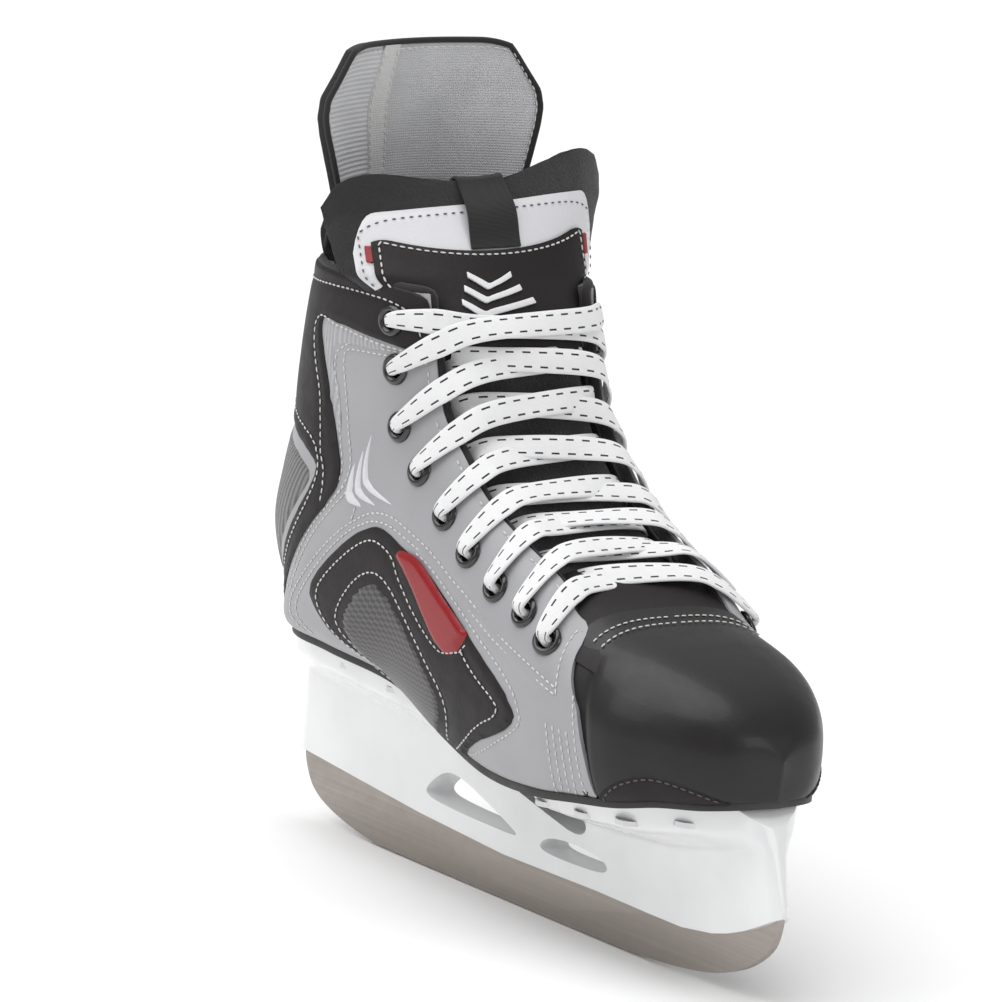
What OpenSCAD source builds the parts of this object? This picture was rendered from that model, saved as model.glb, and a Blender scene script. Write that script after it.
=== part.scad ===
// Junior ice hockey skate, built as separate named pieces.
// Frame: +X to the toe, +Y to the lateral side, +Z up, millimetres.
// The origin is the middle of the running edge of the steel runner.

/* [Runner and holder] */
// thickness of the steel runner
runner_t = 3; // [2.8:0.1:3.2]
// height of the runner's lower band seen below the holder at midfoot
runner_show = 17; // [14:1:20]
// clearance between the runner and the slot it sits in
slot_gap = 0.4; // [0.3:0.05:0.6]
// half thickness of the holder at its lower edge
holder_foot = 5.5; // [4.5:0.5:7]
// half width of the front tower at the sole
front_flare = 32; // [28:1:36]
// half width of the rear tower at the sole
rear_flare = 23; // [20:1:26]
// half width across the holder at the bridge
bridge_half = 8; // [7:0.5:10]

/* [Boot shell] */
// thickness of the outer quarter shell
quarter_t = 2; // [1.6:0.1:2.4]
// thickness of the padded lining
lining_t = 2.4; // [2:0.1:3]
// thickness of the overlay panels
overlay_t = 1.1; // [0.8:0.1:1.4]
// gap kept between stacked layers
layer_gap = 0.2; // [0.15:0.05:0.3]
// thickness of the black outsole
outsole_t = 2.4; // [2:0.2:3]

/* [Eyelets and lace] */
// outside diameter of an eyelet flange
eyelet_d = 10.7; // [10:0.1:11.5]
// bore of an eyelet
eyelet_bore = 5.6; // [5:0.1:6]
// width of the flat lace
lace_w = 8.6; // [7:0.2:10]
// thickness of the flat lace
lace_t = 1.3; // [1:0.1:1.8]

/* [Tongue and tendon guard] */
// thickness of the felt tongue
tongue_t = 6; // [5:0.5:8]
// height of the line where the tongue top folds
tongue_fold_z = 212; // [210:0.5:214]
// height where the tendon guard flexes
guard_fold_z = 204; // [203.5:0.5:205]
// thickness of the tendon guard
guard_t = 4; // [3:0.5:5]

/* [Hidden] */
// stations of the boot from toe to collar:
// bottom x, bottom z, top x, top z, half width low, half width, share of height below widest, eyestay half gap
ST = [[124.5, 67, 126, 80, 0, .3, .5, 0], [122, 67, 122.5, 89, 13, 16.5, .45, 0],
    [115, 66, 114, 97, 23, 27, .42, 0], [104, 65, 101, 103, 31, 35, .4, 0],
    [90, 62, 84, 108, 37, 41.5, .36, 0], [74, 60, 56, 115, 40, 44, .35, 28],
    [50, 57, 41, 125, 41, 45, .35, 28.5], [18, 55.5, 24.5, 133, 36, 44, .4, 29.5],
    [-15, 60, 10, 140, 30, 43, .5, 30.5], [-50, 69.5, 0, 148, 26, 42, .55, 31.5],
    [-88, 73, -8, 158, 28, 42, .55, 32], [-118, 74, -13, 166, 23, 42, .53, 32.5],
    [-133, 80, -16, 173, 0, 42, .5, 33], [-142, 98, -19, 180, 0, 42, .5, 33],
    [-138, 118, -22, 186, 0, 42, .5, 33], [-132, 138, -24.5, 191, 0, 42, .5, 33],
    [-130, 158, -27, 195, 0, 42, .5, 33], [-127, 180, -29, 199, 0, 42, .5, 33],
    [-122, 203, -31, 203, 0, 42, .5, 33]];
NS = len(ST) - 1;
side_gap = 0.15;
over_0 = 0.35;
over_1 = over_0 + overlay_t;
line_1 = -quarter_t - 3 * layer_gap;
line_0 = line_1 - lining_t;
tongue_1 = line_0 - 3.2;
tongue_0 = tongue_1 - tongue_t;
rows = 9;
// which node to draw

// ---- boot surface ----
function unit(a) = a / norm(a);
function section(u) = let(c = max(0, min(NS - .001, u)), i = floor(c), t = c - i,
    a = ST[max(i - 1, 0)], b = ST[i], d = ST[min(i + 1, NS)], e = ST[min(i + 2, NS)])
    (2 * b + (d - a) * t + (2 * a - 5 * b + 4 * d - e) * t * t + (3 * b - a - 3 * d + e) * t * t * t) / 2;
function fullness(u) = u < 4.5 ? .62 : .62 - .12 * min(1, (u - 4.5) / 1.5);
function surf(u, v, sd) = let(q = section(u), f = (v < .5 ? v : v - .5) * 180,
    s = v < .5 ? q[6] * (1 - cos(f)) : q[6] + (1 - q[6]) * pow(sin(f), .8),
    y = v < .5 ? max(q[4], 0) + (q[5] - max(q[4], 0)) * sin(f)
        : q[5] * pow(max(cos(f), 0), fullness(u)))
    [q[0] + (q[2] - q[0]) * s, sd * y, q[1] + (q[3] - q[1]) * s];
function normal(u, v, sd) = let(h = .02,
    a = surf(min(NS, u + h), v, sd) - surf(max(0, u - h), v, sd),
    b = surf(u, min(1, v + h), sd) - surf(u, max(0, v - h), sd)) sd * unit(cross(a, b));
function skin(u, v, off, sd) = let(p = surf(u, v, sd) + off * normal(u, v, sd))
    [p[0], sd * max(sd * p[1], side_gap), p[2]];
function edge_v(u) = let(q = section(u))
    .5 + acos(pow(q[7] / q[5], 1 / fullness(u))) / 180;

// ---- closed solid between two grids of points ----
module between(A, B, flip = false) {
    n = len(A); m = len(A[0]);
    function k(s, i, j) = (s * n + i) * m + j;
    function quad(a, b, c, d) = flip ? [[a, c, b], [a, d, c]] : [[a, b, c], [a, c, d]];
    F = concat(
        [for (i = [0:n - 2], j = [0:m - 2]) each quad(k(0, i, j), k(0, i, j + 1), k(0, i + 1, j + 1),
            k(0, i + 1, j))],
        [for (i = [0:n - 2], j = [0:m - 2]) each quad(k(1, i, j), k(1, i + 1, j), k(1, i + 1, j + 1),
            k(1, i, j + 1))],
        [for (i = [0:n - 2]) each quad(k(0, i, 0), k(0, i + 1, 0), k(1, i + 1, 0), k(1, i, 0))],
        [for (i = [0:n - 2]) each quad(k(0, i, m - 1), k(1, i, m - 1), k(1, i + 1, m - 1), k(0, i + 1,
            m - 1))],
        [for (j = [0:m - 2]) each quad(k(0, 0, j), k(1, 0, j), k(1, 0, j + 1), k(0, 0, j + 1))],
        [for (j = [0:m - 2]) each quad(k(0, n - 1, j), k(0, n - 1, j + 1), k(1, n - 1, j + 1), k(1,
            n - 1, j))]);
    polyhedron([for (g = [A, B]) for (r = g) for (p = r) p], F);
}
// a panel on one side of the boot: stations u0..u1, each from lo(u) to hi(u)
module panel(u0, u1, nu, nv, o0, o1, sd, lo, hi) {
    function grid(o) = [for (i = [0:nu]) let(u = u0 + (u1 - u0) * i / nu)
        [for (j = [0:nv]) skin(u, lo(u) + (hi(u) - lo(u)) * j / nv, o, sd)]];
    between(grid(o1), grid(o0), sd > 0);
}

// ---- sole, holder and runner ----
// half width and line of the sole at a station
function sole_at(u, dz) = let(q = section(u)) [q[0], q[1] + dz];
function sole_half(u) = max(section(u)[4], 1);
module sole_plate(u0, u1, nu, z0, z1, inset) {
    function row(u, z) = [for (s = [-1:1:1]) [sole_at(u, z)[0], s * (max(sole_half(u) - inset, .6)),
        sole_at(u, z)[1]]];
    between([for (i = [0:nu]) row(u0 + (u1 - u0) * i / nu, z1)],
        [for (i = [0:nu]) row(u0 + (u1 - u0) * i / nu, z0)], true);
}
module side_cut(pts, half) rotate([90, 0, 0]) translate([0, 0,
    -half]) linear_extrude(2 * half) polygon(pts);

function sole_line(dz) = [for (u = [1:.5:11.5]) sole_at(u, dz)];
runner_low = [[-134, 13], [-128, 8.5], [-120, 5.5], [-110, 3], [-98, 1], [-88, 0], [50, 0], [66, .6],
    [84, 2],
    [98, 4], [108, 6.5], [118, 10.5], [126, 16], [131, 22]];
module runner() {
    color([.55, .5, .48]) difference() {
        side_cut(concat(runner_low, [[133, 35], [124, 33], [112, 26], [96, 23], [70, 22.5],
            [60, runner_show + 6], [54, 33], [46, 33], [42, runner_show + 5], [-60, runner_show + 7],
                [-78, 24],
            [-83, 35], [-93, 35], [-98, 28], [-120, 30], [-137, 33], [-138.5, 23]]), runner_t / 2);
        blade_posts(2.3, 20);
    }
}
module holder_slot() {
    side_cut([[-150, 10], [-146, 34.5], [-120, 31.5], [-99, 29.5], [-94, 36.5], [-82, 36.5], [-77, 25.5],
        [-60, runner_show + 8], [41, runner_show + 6.5], [45, 34.5], [55, 34.5], [61, runner_show + 7.5],
        [70, 24], [96, 24.5], [111, 27.5], [123, 34.5], [145, 37], [145, 10]], runner_t / 2 + slot_gap);
}
module blade_posts(r, len2) for (x = [-88, 50]) translate([x, 0, 28.5]) rotate([90, 0, 0])
    cylinder(r = r, h = len2, center = true, $fn = 32);
module holder() {
    color([.95, .95, .95]) difference() {
        intersection() {
            side_cut(concat([[-138, 24.5], [-133, 25], [-100, 22], [-61, 19], [-11, runner_show - .5],
                [42, runner_show + .5], [69, runner_show], [87, runner_show], [104, 19], [120, 23.5],
                    [131.5, 29],
                [134, 40], [128, 58]], sole_line(-outsole_t - .2), [[-134, 66], [-138.5, 40]]), 60);
            union() {
                // front tower, flaring up to the forefoot
                translate([24, 0, 0]) rotate([90, 0, 90]) linear_extrude(120) flare(front_flare, 59);
                // rear tower, flaring up to the heel
                translate([-145, 0, 0]) rotate([90, 0, 90]) linear_extrude(107) flare(rear_flare, 70);
                // bridge between them
                translate([-45, -bridge_half, 0]) cube([80, 2 * bridge_half, 46]);
            }
            linear_extrude(90) polygon(concat([for (u = [.6:.5:11.1]) [sole_at(u, 0)[0] + 6,
                -sole_half(u) + 1.5]], [[-124, -19], [-134, -12], [-139, -6], [-139, 6], [-134, 12],
                [-124, 19]],
                [for (u = [11.1:-.5:.6]) [sole_at(u, 0)[0] + 6, sole_half(u) - 1.5]], [[136, 7], [136,
                    -7]]));
        }
        holder_slot();
        // long gap between the bridge and the sole
        side_cut([[-34, 80], [-40, 62], [-30, 51], [-12, 45], [6, 41], [24, 38], [34, 39], [30, 45],
            [14, 50], [-6, 52], [-16, 80]], 60);
        // window under the bridge behind the middle
        side_cut(window, 60);
        // rounded slot in the front tower
        side_cut([[10, 25.5], [14, 28], [40, 31], [46, 29], [46, 26], [40, 24.5], [16, 23.5]], 60);
        for (s = [-1, 1]) blade_recess(s);
        blade_posts(2.4, 60);
        front_set() cylinder(r = 2.3, h = 60, center = true, $fn = 24);
        rear_set() cylinder(r = 2.3, h = 60, center = true, $fn = 24);
        front_set() translate([0, 0, -60 - 5]) cylinder(r = 5.2, h = 60, $fn = 24);
        rear_set() translate([0, 0, -60 - 5]) cylinder(r = 5.2, h = 60, $fn = 24);
    }
}
window = [[-58, 27], [-50, 34], [-40, 37], [-24, 34], [-8, 29], [-2, 25.5], [-12, 24.5], [-50, 25]];
module blade_recess(s) for (x = [-88, 50]) translate([x, s * (holder_foot - 2.1),
    28.5]) rotate([-s * 90, 0, 0]) cylinder(r = 5, h = 40, $fn = 32);
module flare(w, z1) polygon([[-holder_foot, 10], [-holder_foot - 1, 31], [-holder_foot - 5, 42],
    [-w + 5, z1 - 12], [-w, z1 - 4],
    [-w, 90], [w, 90], [w, z1 - 4], [w - 5, z1 - 12], [holder_foot + 5, 42], [holder_foot + 1, 31],
        [holder_foot, 10]]);
// places where the holder is riveted to the outsole, z on the sole line
module on_sole(P) for (p = P) translate([p[0], p[1], p[2] - outsole_t - .2]) children();
front_spots = [[104, -19, 65], [104, 19, 65], [84, -27, 61.3], [84, 27, 61.3], [62, -27, 58.6], [62, 27,
    58.6], [38, -25, 56.3], [38, 25, 56.3]];
rear_spots = [[-62, -17, 71.2], [-62, 17, 71.2], [-90, -17, 73.1], [-90, 17, 73.1], [-112, -12, 73.7],
    [-112, 12, 73.7]];
module front_set() on_sole(front_spots) children();
module rear_set() on_sole(rear_spots) children();
module sole_rivet() {
    translate([0, 0, -4.9]) cylinder(r = 2.1, h = 7.4 + outsole_t, $fn = 24);
    translate([0, 0, -6.7]) cylinder(r = 4.6, h = 1.7, $fn = 24);
}
module front_rivets() color([.6, .6, .62]) front_set() sole_rivet();
module rear_rivets() color([.6, .6, .62]) rear_set() sole_rivet();
module blade_bolts() color([.5, .5, .52]) for (x = [-88, 50]) translate([x, 0, 28.5]) rotate([90, 0, 0]) {
    translate([0, 0, -holder_foot + .1]) cylinder(r = 2.1, h = 2 * holder_foot - 2, $fn = 32);
    translate([0, 0, holder_foot - 2]) cylinder(r = 4.2, h = 1.8, $fn = 32);
}
module blade_nuts() color([.45, .45, .48]) for (x = [-88, 50]) translate([x, holder_foot - 2,
    28.5]) rotate([-90, 0, 0]) difference() {
    cylinder(r = 4.4, h = 1.8, $fn = 6);
    translate([0, 0, -1]) cylinder(r = 2.4, h = 5, $fn = 32);
}
module sole_bores() {
    for (P = [front_spots, rear_spots]) for (p = P) translate([p[0], p[1], p[2] - 8]) cylinder(r = 2.4,
        h = 16, $fn = 24);
}
module outsole() color([.1, .1, .1]) difference() { sole_plate(.15, 11.9, 30, -outsole_t, -.1,
    0); sole_bores(); }
module insole_board() color([.3, .28, .25]) difference() { sole_plate(1.3, 11.8, 22, .1, 2.2,
    2); sole_bores(); }
module footbed() color([.25, .25, .27]) sole_plate(2.3, 11.6, 20, 2.9, 6, 3.5);

// ---- shell, lining and panels ----
function v_low(u) = 0;
function v_edge(u) = edge_v(u);
function v_edge_in(u) = edge_v(u) - .012;
function v_eyelet(u) = edge_v(u) - lookup(-u, [for (k = [0:rows - 1]) [-eye_u[k], eye_in[k]]]);
eye_u = [16.6, 14.5, 12.4, 10.5, 9.15, 8.1, 7.15, 6.3, 5.55];
eye_in = [.125, .12, .115, .13, .15, .16, .165, .165, .155];
module at_eyelet(k, sd) {
    n = normal(eye_u[k], v_eyelet(eye_u[k]), sd);
    translate(surf(eye_u[k], v_eyelet(eye_u[k]), sd)) rotate([0, acos(n[2]), atan2(n[1],
        n[0])]) children();
}
module eyelet_bores(sd) for (k = [0:rows - 1]) at_eyelet(k, sd) translate([0, 0, -8])
    cylinder(d = eyelet_bore + 1.8, h = 12, $fn = 24);
module quarter(sd) color([.66, .66, .68]) difference() {
    panel(5.05, NS, 36, 11, -quarter_t, 0, sd, function(u) 0, function(u) edge_v(u));
    eyelet_bores(sd);
}
module lining(sd) color([.35, .35, .37]) difference() {
    panel(5.15, NS, 27, 9, line_0, line_1, sd, function(u) .012, function(u) edge_v(u) - .01);
    eyelet_bores(sd);
}
module quarter_right() quarter(-1);
module quarter_left() quarter(1);
module lining_right() lining(-1);
module lining_left() lining(1);
// black collar panel that runs down the back of the ankle
module collar(sd) color([.17, .14, .14]) difference() {
    panel(15.9, NS, 12, 14, over_0 + layer_gap, over_1 + layer_gap, sd, function(u) .01,
        function(u) min(edge_v(u) - .03, .3 + .55 * (u - 15.9)));
    at_eyelet(0, sd) translate([0, 0, -4]) cylinder(d = eyelet_d + .6, h = 8, $fn = 30);
}
module collar_right() collar(-1);
module collar_left() collar(1);
// textured panel over the heel counter
module heel_panel(sd) color([.5, .5, .53]) panel(11.5, 15.6, 14, 8, over_0, over_1, sd,
    function(u) .02, function(u) .2 + .03 * abs(u - 13));
module heel_panel_right() heel_panel(-1);
module heel_panel_left() heel_panel(1);
// black arch panel and the badge on it
module arch_panel(sd) color([.15, .13, .13]) panel(6.4, 10.9, 17, 8, over_0 - .15, over_1 - .35, sd,
    function(u) .06 + .02 * abs(u - 9), function(u) min(.14 + .1 * (u - 6.6), .44 - .06 * max(0,
        u - 9.6)));
module arch_panel_right() arch_panel(-1);
module arch_panel_left() arch_panel(1);
module badge(sd) color([.66, .06, .09]) panel(7.8, 9.5, 8, 4, over_1 + layer_gap, over_1 + 1, sd,
    function(u) .17 + .1 * (u - 7.8), function(u) .24 + .1 * (u - 7.8));
module badge_right() badge(-1);
module badge_left() badge(1);
module eyelet() rotate_extrude($fn = 36) polygon([[eyelet_bore / 2, -5.4], [eyelet_bore / 2 + .6, -5.4],
    [eyelet_bore / 2 + .6, .15],
    [eyelet_d / 2, .15], [eyelet_d / 2 - .2, .9], [eyelet_bore / 2 + 1, 1.3], [eyelet_bore / 2, .8]]);
module eyelets(sd) color([.08, .08, .08]) for (k = [0:rows - 1]) at_eyelet(k, sd) translate([0, 0,
    .05]) eyelet();
module eyelets_right() eyelets(-1);
module eyelets_left() eyelets(1);

// ---- toe ----
module toe_shell(u0, u1, nu, nv, o0, o1, v0) {
    function row(u, o) = concat([for (j = [0:nv]) skin(u, v0 + (1 - v0) * j / nv, o, -1)],
        [for (j = [nv:-1:0]) skin(u, v0 + (1 - v0) * j / nv, o, 1)]);
    between([for (i = [0:nu]) row(u0 + (u1 - u0) * i / nu, o1)],
        [for (i = [0:nu]) row(u0 + (u1 - u0) * i / nu, o0)]);
}
module toe_cap() color([.16, .14, .14]) toe_shell(.01, 5, 16, 9, -2, .6, 0);
module toe_liner() color([.35, .35, .37]) toe_shell(1.1, 4.9, 10, 7, -5, -3.3, .08);

// ---- tongue ----
module tongue_lower() {
    function vt(u) = u < 6 ? edge_v(u) - .05 : edge_v(u) - .16;
    function low_row(u, o) = concat([for (j = [0:8]) skin(u, vt(u) + (1 - vt(u)) * j / 8, o, -1)],
        [for (j = [8:-1:0]) skin(u, vt(u) + (1 - vt(u)) * j / 8, o, 1)]);
    function top_row(t, b) = [for (s = [-1:2 / 17:1.001]) tongue_at(s, t, b)];
    color([.2, .2, .22]) between(concat([for (u = [5.3:.5:16.9]) low_row(u, tongue_1)], [for (t = [-.25,
        -.16, -.08]) top_row(t, 0)]),
        concat([for (u = [5.3:.5:16.9]) low_row(u, tongue_0)], [for (t = [-.25, -.16, -.08]) top_row(t,
            -tongue_t)]));
}
// the upper tongue: s runs across, t upwards from the fold, b is depth behind its face
function tongue_at(s, t, b) = let(k = max(0, min(1, .35 + t * .65)), w = 36 + 18 * k,
    a = s * (80 - 40 * k),
    lobe = 8 * k * (1 - cos(360 * min(abs(s), .75) / 1.5)) / 2 - 9 * k * pow(max(0, (abs(s) - .8) / .2),
        2))
    [-47 - 17 * max(t, -.3) - (36 - 24 * k) * s * s + b * cos(a),
        w * sin(a) / sin(80 - 40 * k) + b * sin(a) * .8,
        tongue_fold_z + t * 23 + lobe * max(t, 0)];
module tongue_part(t0, t1, nt, s0, s1, n, b0, b1) between(
    [for (i = [0:nt]) [for (j = [0:n]) tongue_at(s0 + (s1 - s0) * j / n, t0 + (t1 - t0) * i / nt, b1)]],
    [for (i = [0:nt]) [for (j = [0:n]) tongue_at(s0 + (s1 - s0) * j / n, t0 + (t1 - t0) * i / nt, b0)]]);
module tongue_upper() color([.2, .2, .22]) tongue_part(.03, 1, 8, -1, 1, 26, -tongue_t, 0);
module tongue_face() color([.75, .75, .78]) tongue_part(.11, .6, 5, -.78, .78, 20, .4, 1.5);
module tongue_loop() color([.1, .1, .1]) tongue_part(.14, .98, 6, -.16, .16, 4, 2, 3.4);
module tongue_badge() {
    function row(u, o) = concat([for (j = [0:5]) skin(u, .9 + .02 * j, o, -1)],
        [for (j = [5:-1:0]) skin(u, .9 + .02 * j, o, 1)]);
    color([.12, .1, .1]) between([for (u = [15.2:.3:16.71]) row(u, tongue_1 + 1.5)],
        [for (u = [15.2:.3:16.71]) row(u, tongue_1 + .3)]);
}

// ---- tendon guard ----
function guard_at(s, h, b) = let(w = h < .25 ? 31 + 6 * h / .25 : h < .72 ? 37 + 9 * (h - .25) / .47
    : 46 - 13 * (h - .72) / .28,
    x = -122 + 12 * min(1, h / .35) + 4 * h, a = 20 * s)
    [x + b * cos(a) + 18 * s * s * (1 - .5 * h * h), s * w + b * sin(a), guard_fold_z + 1.6 + 71 * h];
module guard_part(h0, h1, nh, s0, s1, n, b0, b1) between(
    [for (i = [0:nh]) [for (j = [0:n]) guard_at(s0 + (s1 - s0) * j / n, h0 + (h1 - h0) * i / nh, b1)]],
    [for (i = [0:nh]) [for (j = [0:n]) guard_at(s0 + (s1 - s0) * j / n, h0 + (h1 - h0) * i / nh, b0)]]);
module tendon_guard() color([.3, .3, .32]) guard_part(0, 1, 12, -1, 1, 10, -guard_t, 0);
module guard_lining() color([.75, .75, .77]) guard_part(.02, .98, 12, -.94, .94, 10, .3, 1.6);
module guard_seam_tape() color([.8, .8, .8]) guard_part(.03, .97, 12, -.45, -.27, 3, 2.1, 2.8);
module guard_base() {
    function row(u, o) = concat([for (j = [6:-1:0]) skin(u, .02 + .03 * j, o, 1)],
        [for (j = [0:6]) skin(u, .02 + .03 * j, o, -1)]);
    color([.2, .2, .22]) between([for (u = [16.4:.4:18.01]) row(u, line_0 - 1)],
        [for (u = [16.4:.4:18.01]) row(u, line_0 - 3.2)]);
}

// ---- lace ----
// one stop on the lace's way: station, share of the height, height above the surface, side, width and thickness
function stop(u, v, o, sd, w, t) = [surf(u, v, sd) + o * normal(u, v, sd), w, t, normal(u, v, sd)];
bunch_w = 3.4; bunch_t = 2.6;
// from eyelet k on side sd over its flap, across the tongue, under the other flap and out of eyelet k-1
function pass(k, sd, over) = let(a = eye_u[k], b = eye_u[k - 1], va = v_eyelet(a), vb = v_eyelet(b),
    ea = edge_v(a), eb = edge_v(b),
    hi = over ? 1.1 : -1.1)
    [stop(a, va, 2.6, sd, bunch_w, bunch_t), stop(a - (a - b) * .04, va + .035, 3, sd, lace_w - 3,
        lace_t),
    stop(a - (a - b) * .18, ea + .01, 1.6, sd, lace_w, lace_t),
    stop(a - (a - b) * .36, (ea + 1) / 2 + .03, -.6 + hi, sd, lace_w, lace_t),
    stop(a - (a - b) * .64, (eb + 1) / 2 + .03, -4 + hi, -sd, lace_w, lace_t),
    stop(a - (a - b) * .86, eb - .005, line_0 - 1.7, -sd, lace_w, lace_t),
    stop(b, vb + .03, line_0 - 1.9, -sd, lace_w - 3, lace_t),
    stop(b, vb, line_0 - .8, -sd, bunch_w, bunch_t)];
function last_pass(sd, over) = let(a = eye_u[1], b = eye_u[0], va = v_eyelet(a), vb = v_eyelet(b),
    ea = edge_v(a), eb = edge_v(b),
    hi = over ? 1.1 : -1.1)
    [stop(a, va, 2.6, sd, bunch_w, bunch_t), stop(a - (a - b) * .04, va + .035, 3, sd, lace_w - 3,
        lace_t),
    stop(a - (a - b) * .18, ea + .01, 1.6, sd, lace_w, lace_t),
    stop(a - (a - b) * .4, (ea + 1) / 2 + .03, -.6 + hi, sd, lace_w, lace_t),
    stop(a - (a - b) * .6, (eb + 1) / 2 + .03, -.6 + hi, -sd, lace_w, lace_t),
    stop(a - (a - b) * .84, eb + .01, 1.6, -sd, lace_w, lace_t),
    stop(b, vb + .035, 3, -sd, lace_w - 3, lace_t),
    stop(b, vb, 2.4, -sd, bunch_w, bunch_t), stop(b, vb, line_0 - .6, -sd, bunch_w, bunch_t),
    stop(b + .1, vb - .04, line_0 - 1.9, -sd, bunch_w, bunch_t), stop(b + .2, vb - .12, line_0 - 1.9,
        -sd, bunch_w, bunch_t)];
// all stops of one half, starting in the bottom row on side sd
function half_lace(sd) = concat([for (k = [rows - 1:-1:2]) each pass(k, sd * (k % 2 == 0 ? 1 : -1),
    sd > 0)],
    last_pass(-sd, sd > 0));
function bar_stop(j, sd) = let(a = eye_u[rows - 1], va = v_eyelet(a))
    j == 0 ? stop(a, va, line_0 - .8, sd, bunch_w, bunch_t)
    : j == 1 ? stop(a, va + .03, line_0 - 1.9, sd, lace_w - 3, lace_t)
    : stop(a, edge_v(a), line_0 - 1.7, sd, lace_w, lace_t);
bar = concat([for (j = [0:2]) bar_stop(j, -1)], [for (j = [2:-1:0]) bar_stop(j, 1)]);
function turned(L) = [for (i = [len(L) - 1:-1:0]) L[i]];
lace_way = concat(turned(half_lace(-1)), bar, half_lace(1));
function spline(A, B, C, D, t) = (2 * B + (C - A) * t + (2 * A - 5 * B + 4 * C - D) * t * t
    + (3 * B - A - 3 * C + D) * t * t * t) / 2;
function smooth_way(W, n) = [for (i = [0:len(W) - 2], j = [0:n - 1]) let(a = W[max(i - 1, 0)], b = W[i],
    c = W[i + 1],
    d = W[min(i + 2, len(W) - 1)], t = j / n) [spline(a[0], b[0], c[0], d[0], t),
        b[1] + (c[1] - b[1]) * t, b[2] + (c[2] - b[2]) * t,
        b[3] + (c[3] - b[3]) * t]];
// the width lies across the way and along the boot, so the flat side faces out
function ribbon(W) = [for (i = [0:len(W) - 1]) let(d = unit(W[min(i + 1, len(W) - 1)][0] - W[max(i - 1,
    0)][0]),
    a = unit(cross(d, W[i][3]) + [0, 0, .001]), b = unit(cross(a, d)), w = W[i][1] / 2, t = W[i][2] / 2)
    [for (c = [[-1, -1], [1, -1], [1, 1], [-1, 1]]) W[i][0] + a * w * c[0] + b * t * c[1]]];
module lace() color([.95, .95, .95]) {
    R = ribbon(smooth_way(lace_way, 2));
    n = len(R);
    polyhedron([for (r = R) for (p = r) p], concat([[0, 1, 2], [0, 2, 3]], [for (i = [0:n - 2], j = [0:3])
        each [[i * 4 + j, (i + 1) * 4 + j, (i + 1) * 4 + (j + 1) % 4], [i * 4 + j,
            (i + 1) * 4 + (j + 1) % 4, i * 4 + (j + 1) % 4]]],
        [[n * 4 - 4, n * 4 - 2, n * 4 - 3], [n * 4 - 4, n * 4 - 1, n * 4 - 2]]));
}
module lace_tips() color([.8, .8, .82]) for (sd = [-1, 1]) {
    a = stop(eye_u[0] + .22, v_eyelet(eye_u[0]) - .135, line_0 - 1.9, sd, 1, 1)[0];
    translate(a) rotate([0, -70, sd * 8]) cylinder(r = 1.6, h = 14, $fn = 20);
}

runner();
holder();
blade_bolts();
blade_nuts();
front_rivets();
rear_rivets();
outsole();
insole_board();
footbed();
quarter_right();
quarter_left();
lining_right();
lining_left();
collar_right();
collar_left();
heel_panel_right();
heel_panel_left();
arch_panel_right();
arch_panel_left();
badge_right();
badge_left();
eyelets_right();
eyelets_left();
toe_cap();
toe_liner();
tongue_lower();
tongue_badge();
guard_base();
lace();
lace_tips();
tongue_upper();
tongue_face();
tongue_loop();
tendon_guard();
guard_lining();
guard_seam_tape();
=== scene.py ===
"""Junior ice hockey skate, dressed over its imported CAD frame.

Every length in the classes is in millimetres; a mesh is written in metres. The boot is one smooth form, and each
panel, seam and eyelet is placed on it by two numbers: the station (0 at the toe, 18 at the collar) and the share of
the way from the sole (0) over the widest line (0.5) to the middle of the instep (1).
"""
import logging
import math
from contextlib import contextmanager
from dataclasses import dataclass, field
from enum import Enum
from typing import Callable, ClassVar, Iterator, Sequence

import bpy
import numpy as np
from mathutils import Matrix, Vector
from mathutils.geometry import delaunay_2d_cdt


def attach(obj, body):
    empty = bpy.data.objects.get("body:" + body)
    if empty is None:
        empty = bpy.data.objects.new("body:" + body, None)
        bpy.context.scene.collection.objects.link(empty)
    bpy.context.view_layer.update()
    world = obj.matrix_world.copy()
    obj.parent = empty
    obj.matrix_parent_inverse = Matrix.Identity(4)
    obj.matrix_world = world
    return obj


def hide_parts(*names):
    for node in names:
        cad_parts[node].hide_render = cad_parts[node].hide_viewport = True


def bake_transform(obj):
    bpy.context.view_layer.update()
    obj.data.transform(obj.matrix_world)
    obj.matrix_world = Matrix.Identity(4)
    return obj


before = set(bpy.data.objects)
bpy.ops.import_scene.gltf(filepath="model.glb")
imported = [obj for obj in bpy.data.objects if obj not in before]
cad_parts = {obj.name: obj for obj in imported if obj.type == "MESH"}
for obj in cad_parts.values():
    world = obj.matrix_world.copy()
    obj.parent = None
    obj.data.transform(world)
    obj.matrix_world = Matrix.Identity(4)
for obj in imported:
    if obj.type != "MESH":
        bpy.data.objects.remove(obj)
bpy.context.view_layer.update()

LOG = logging.getLogger("skate")
MM = 0.001
# one millimetre in the pattern coordinates, and the factor that turns their units into a wave a millimetre long
PATTERN, WAVE = .01, 628
# how deep and how wide a seam is pulled in, and how wide a raised line is, in millimetres
SEAM_DEPTH, SEAM_WIDTH, RIDGE_WIDTH = .34, 1.1, 1.25
# height of the quarter's own seams and of the overlays' seams, and of the overlays' faces, in millimetres
FLUSH, ON_COVER, COVER = .16, 1.1, 1.15
Array = np.ndarray
Pair = tuple[float, float]
Piece = bpy.types.Object
Socket = bpy.types.NodeSocket


class Side(Enum):
    """The two sides of the boot; the value is the sign of Y."""

    MEDIAL = -1
    LATERAL = 1


def ramp(x: Array | float, start: float, end: float) -> Array:
    """A straight rise from 0 at the start to 1 at the end."""
    return np.clip((x - start) / (end - start), 0, 1)


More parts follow.
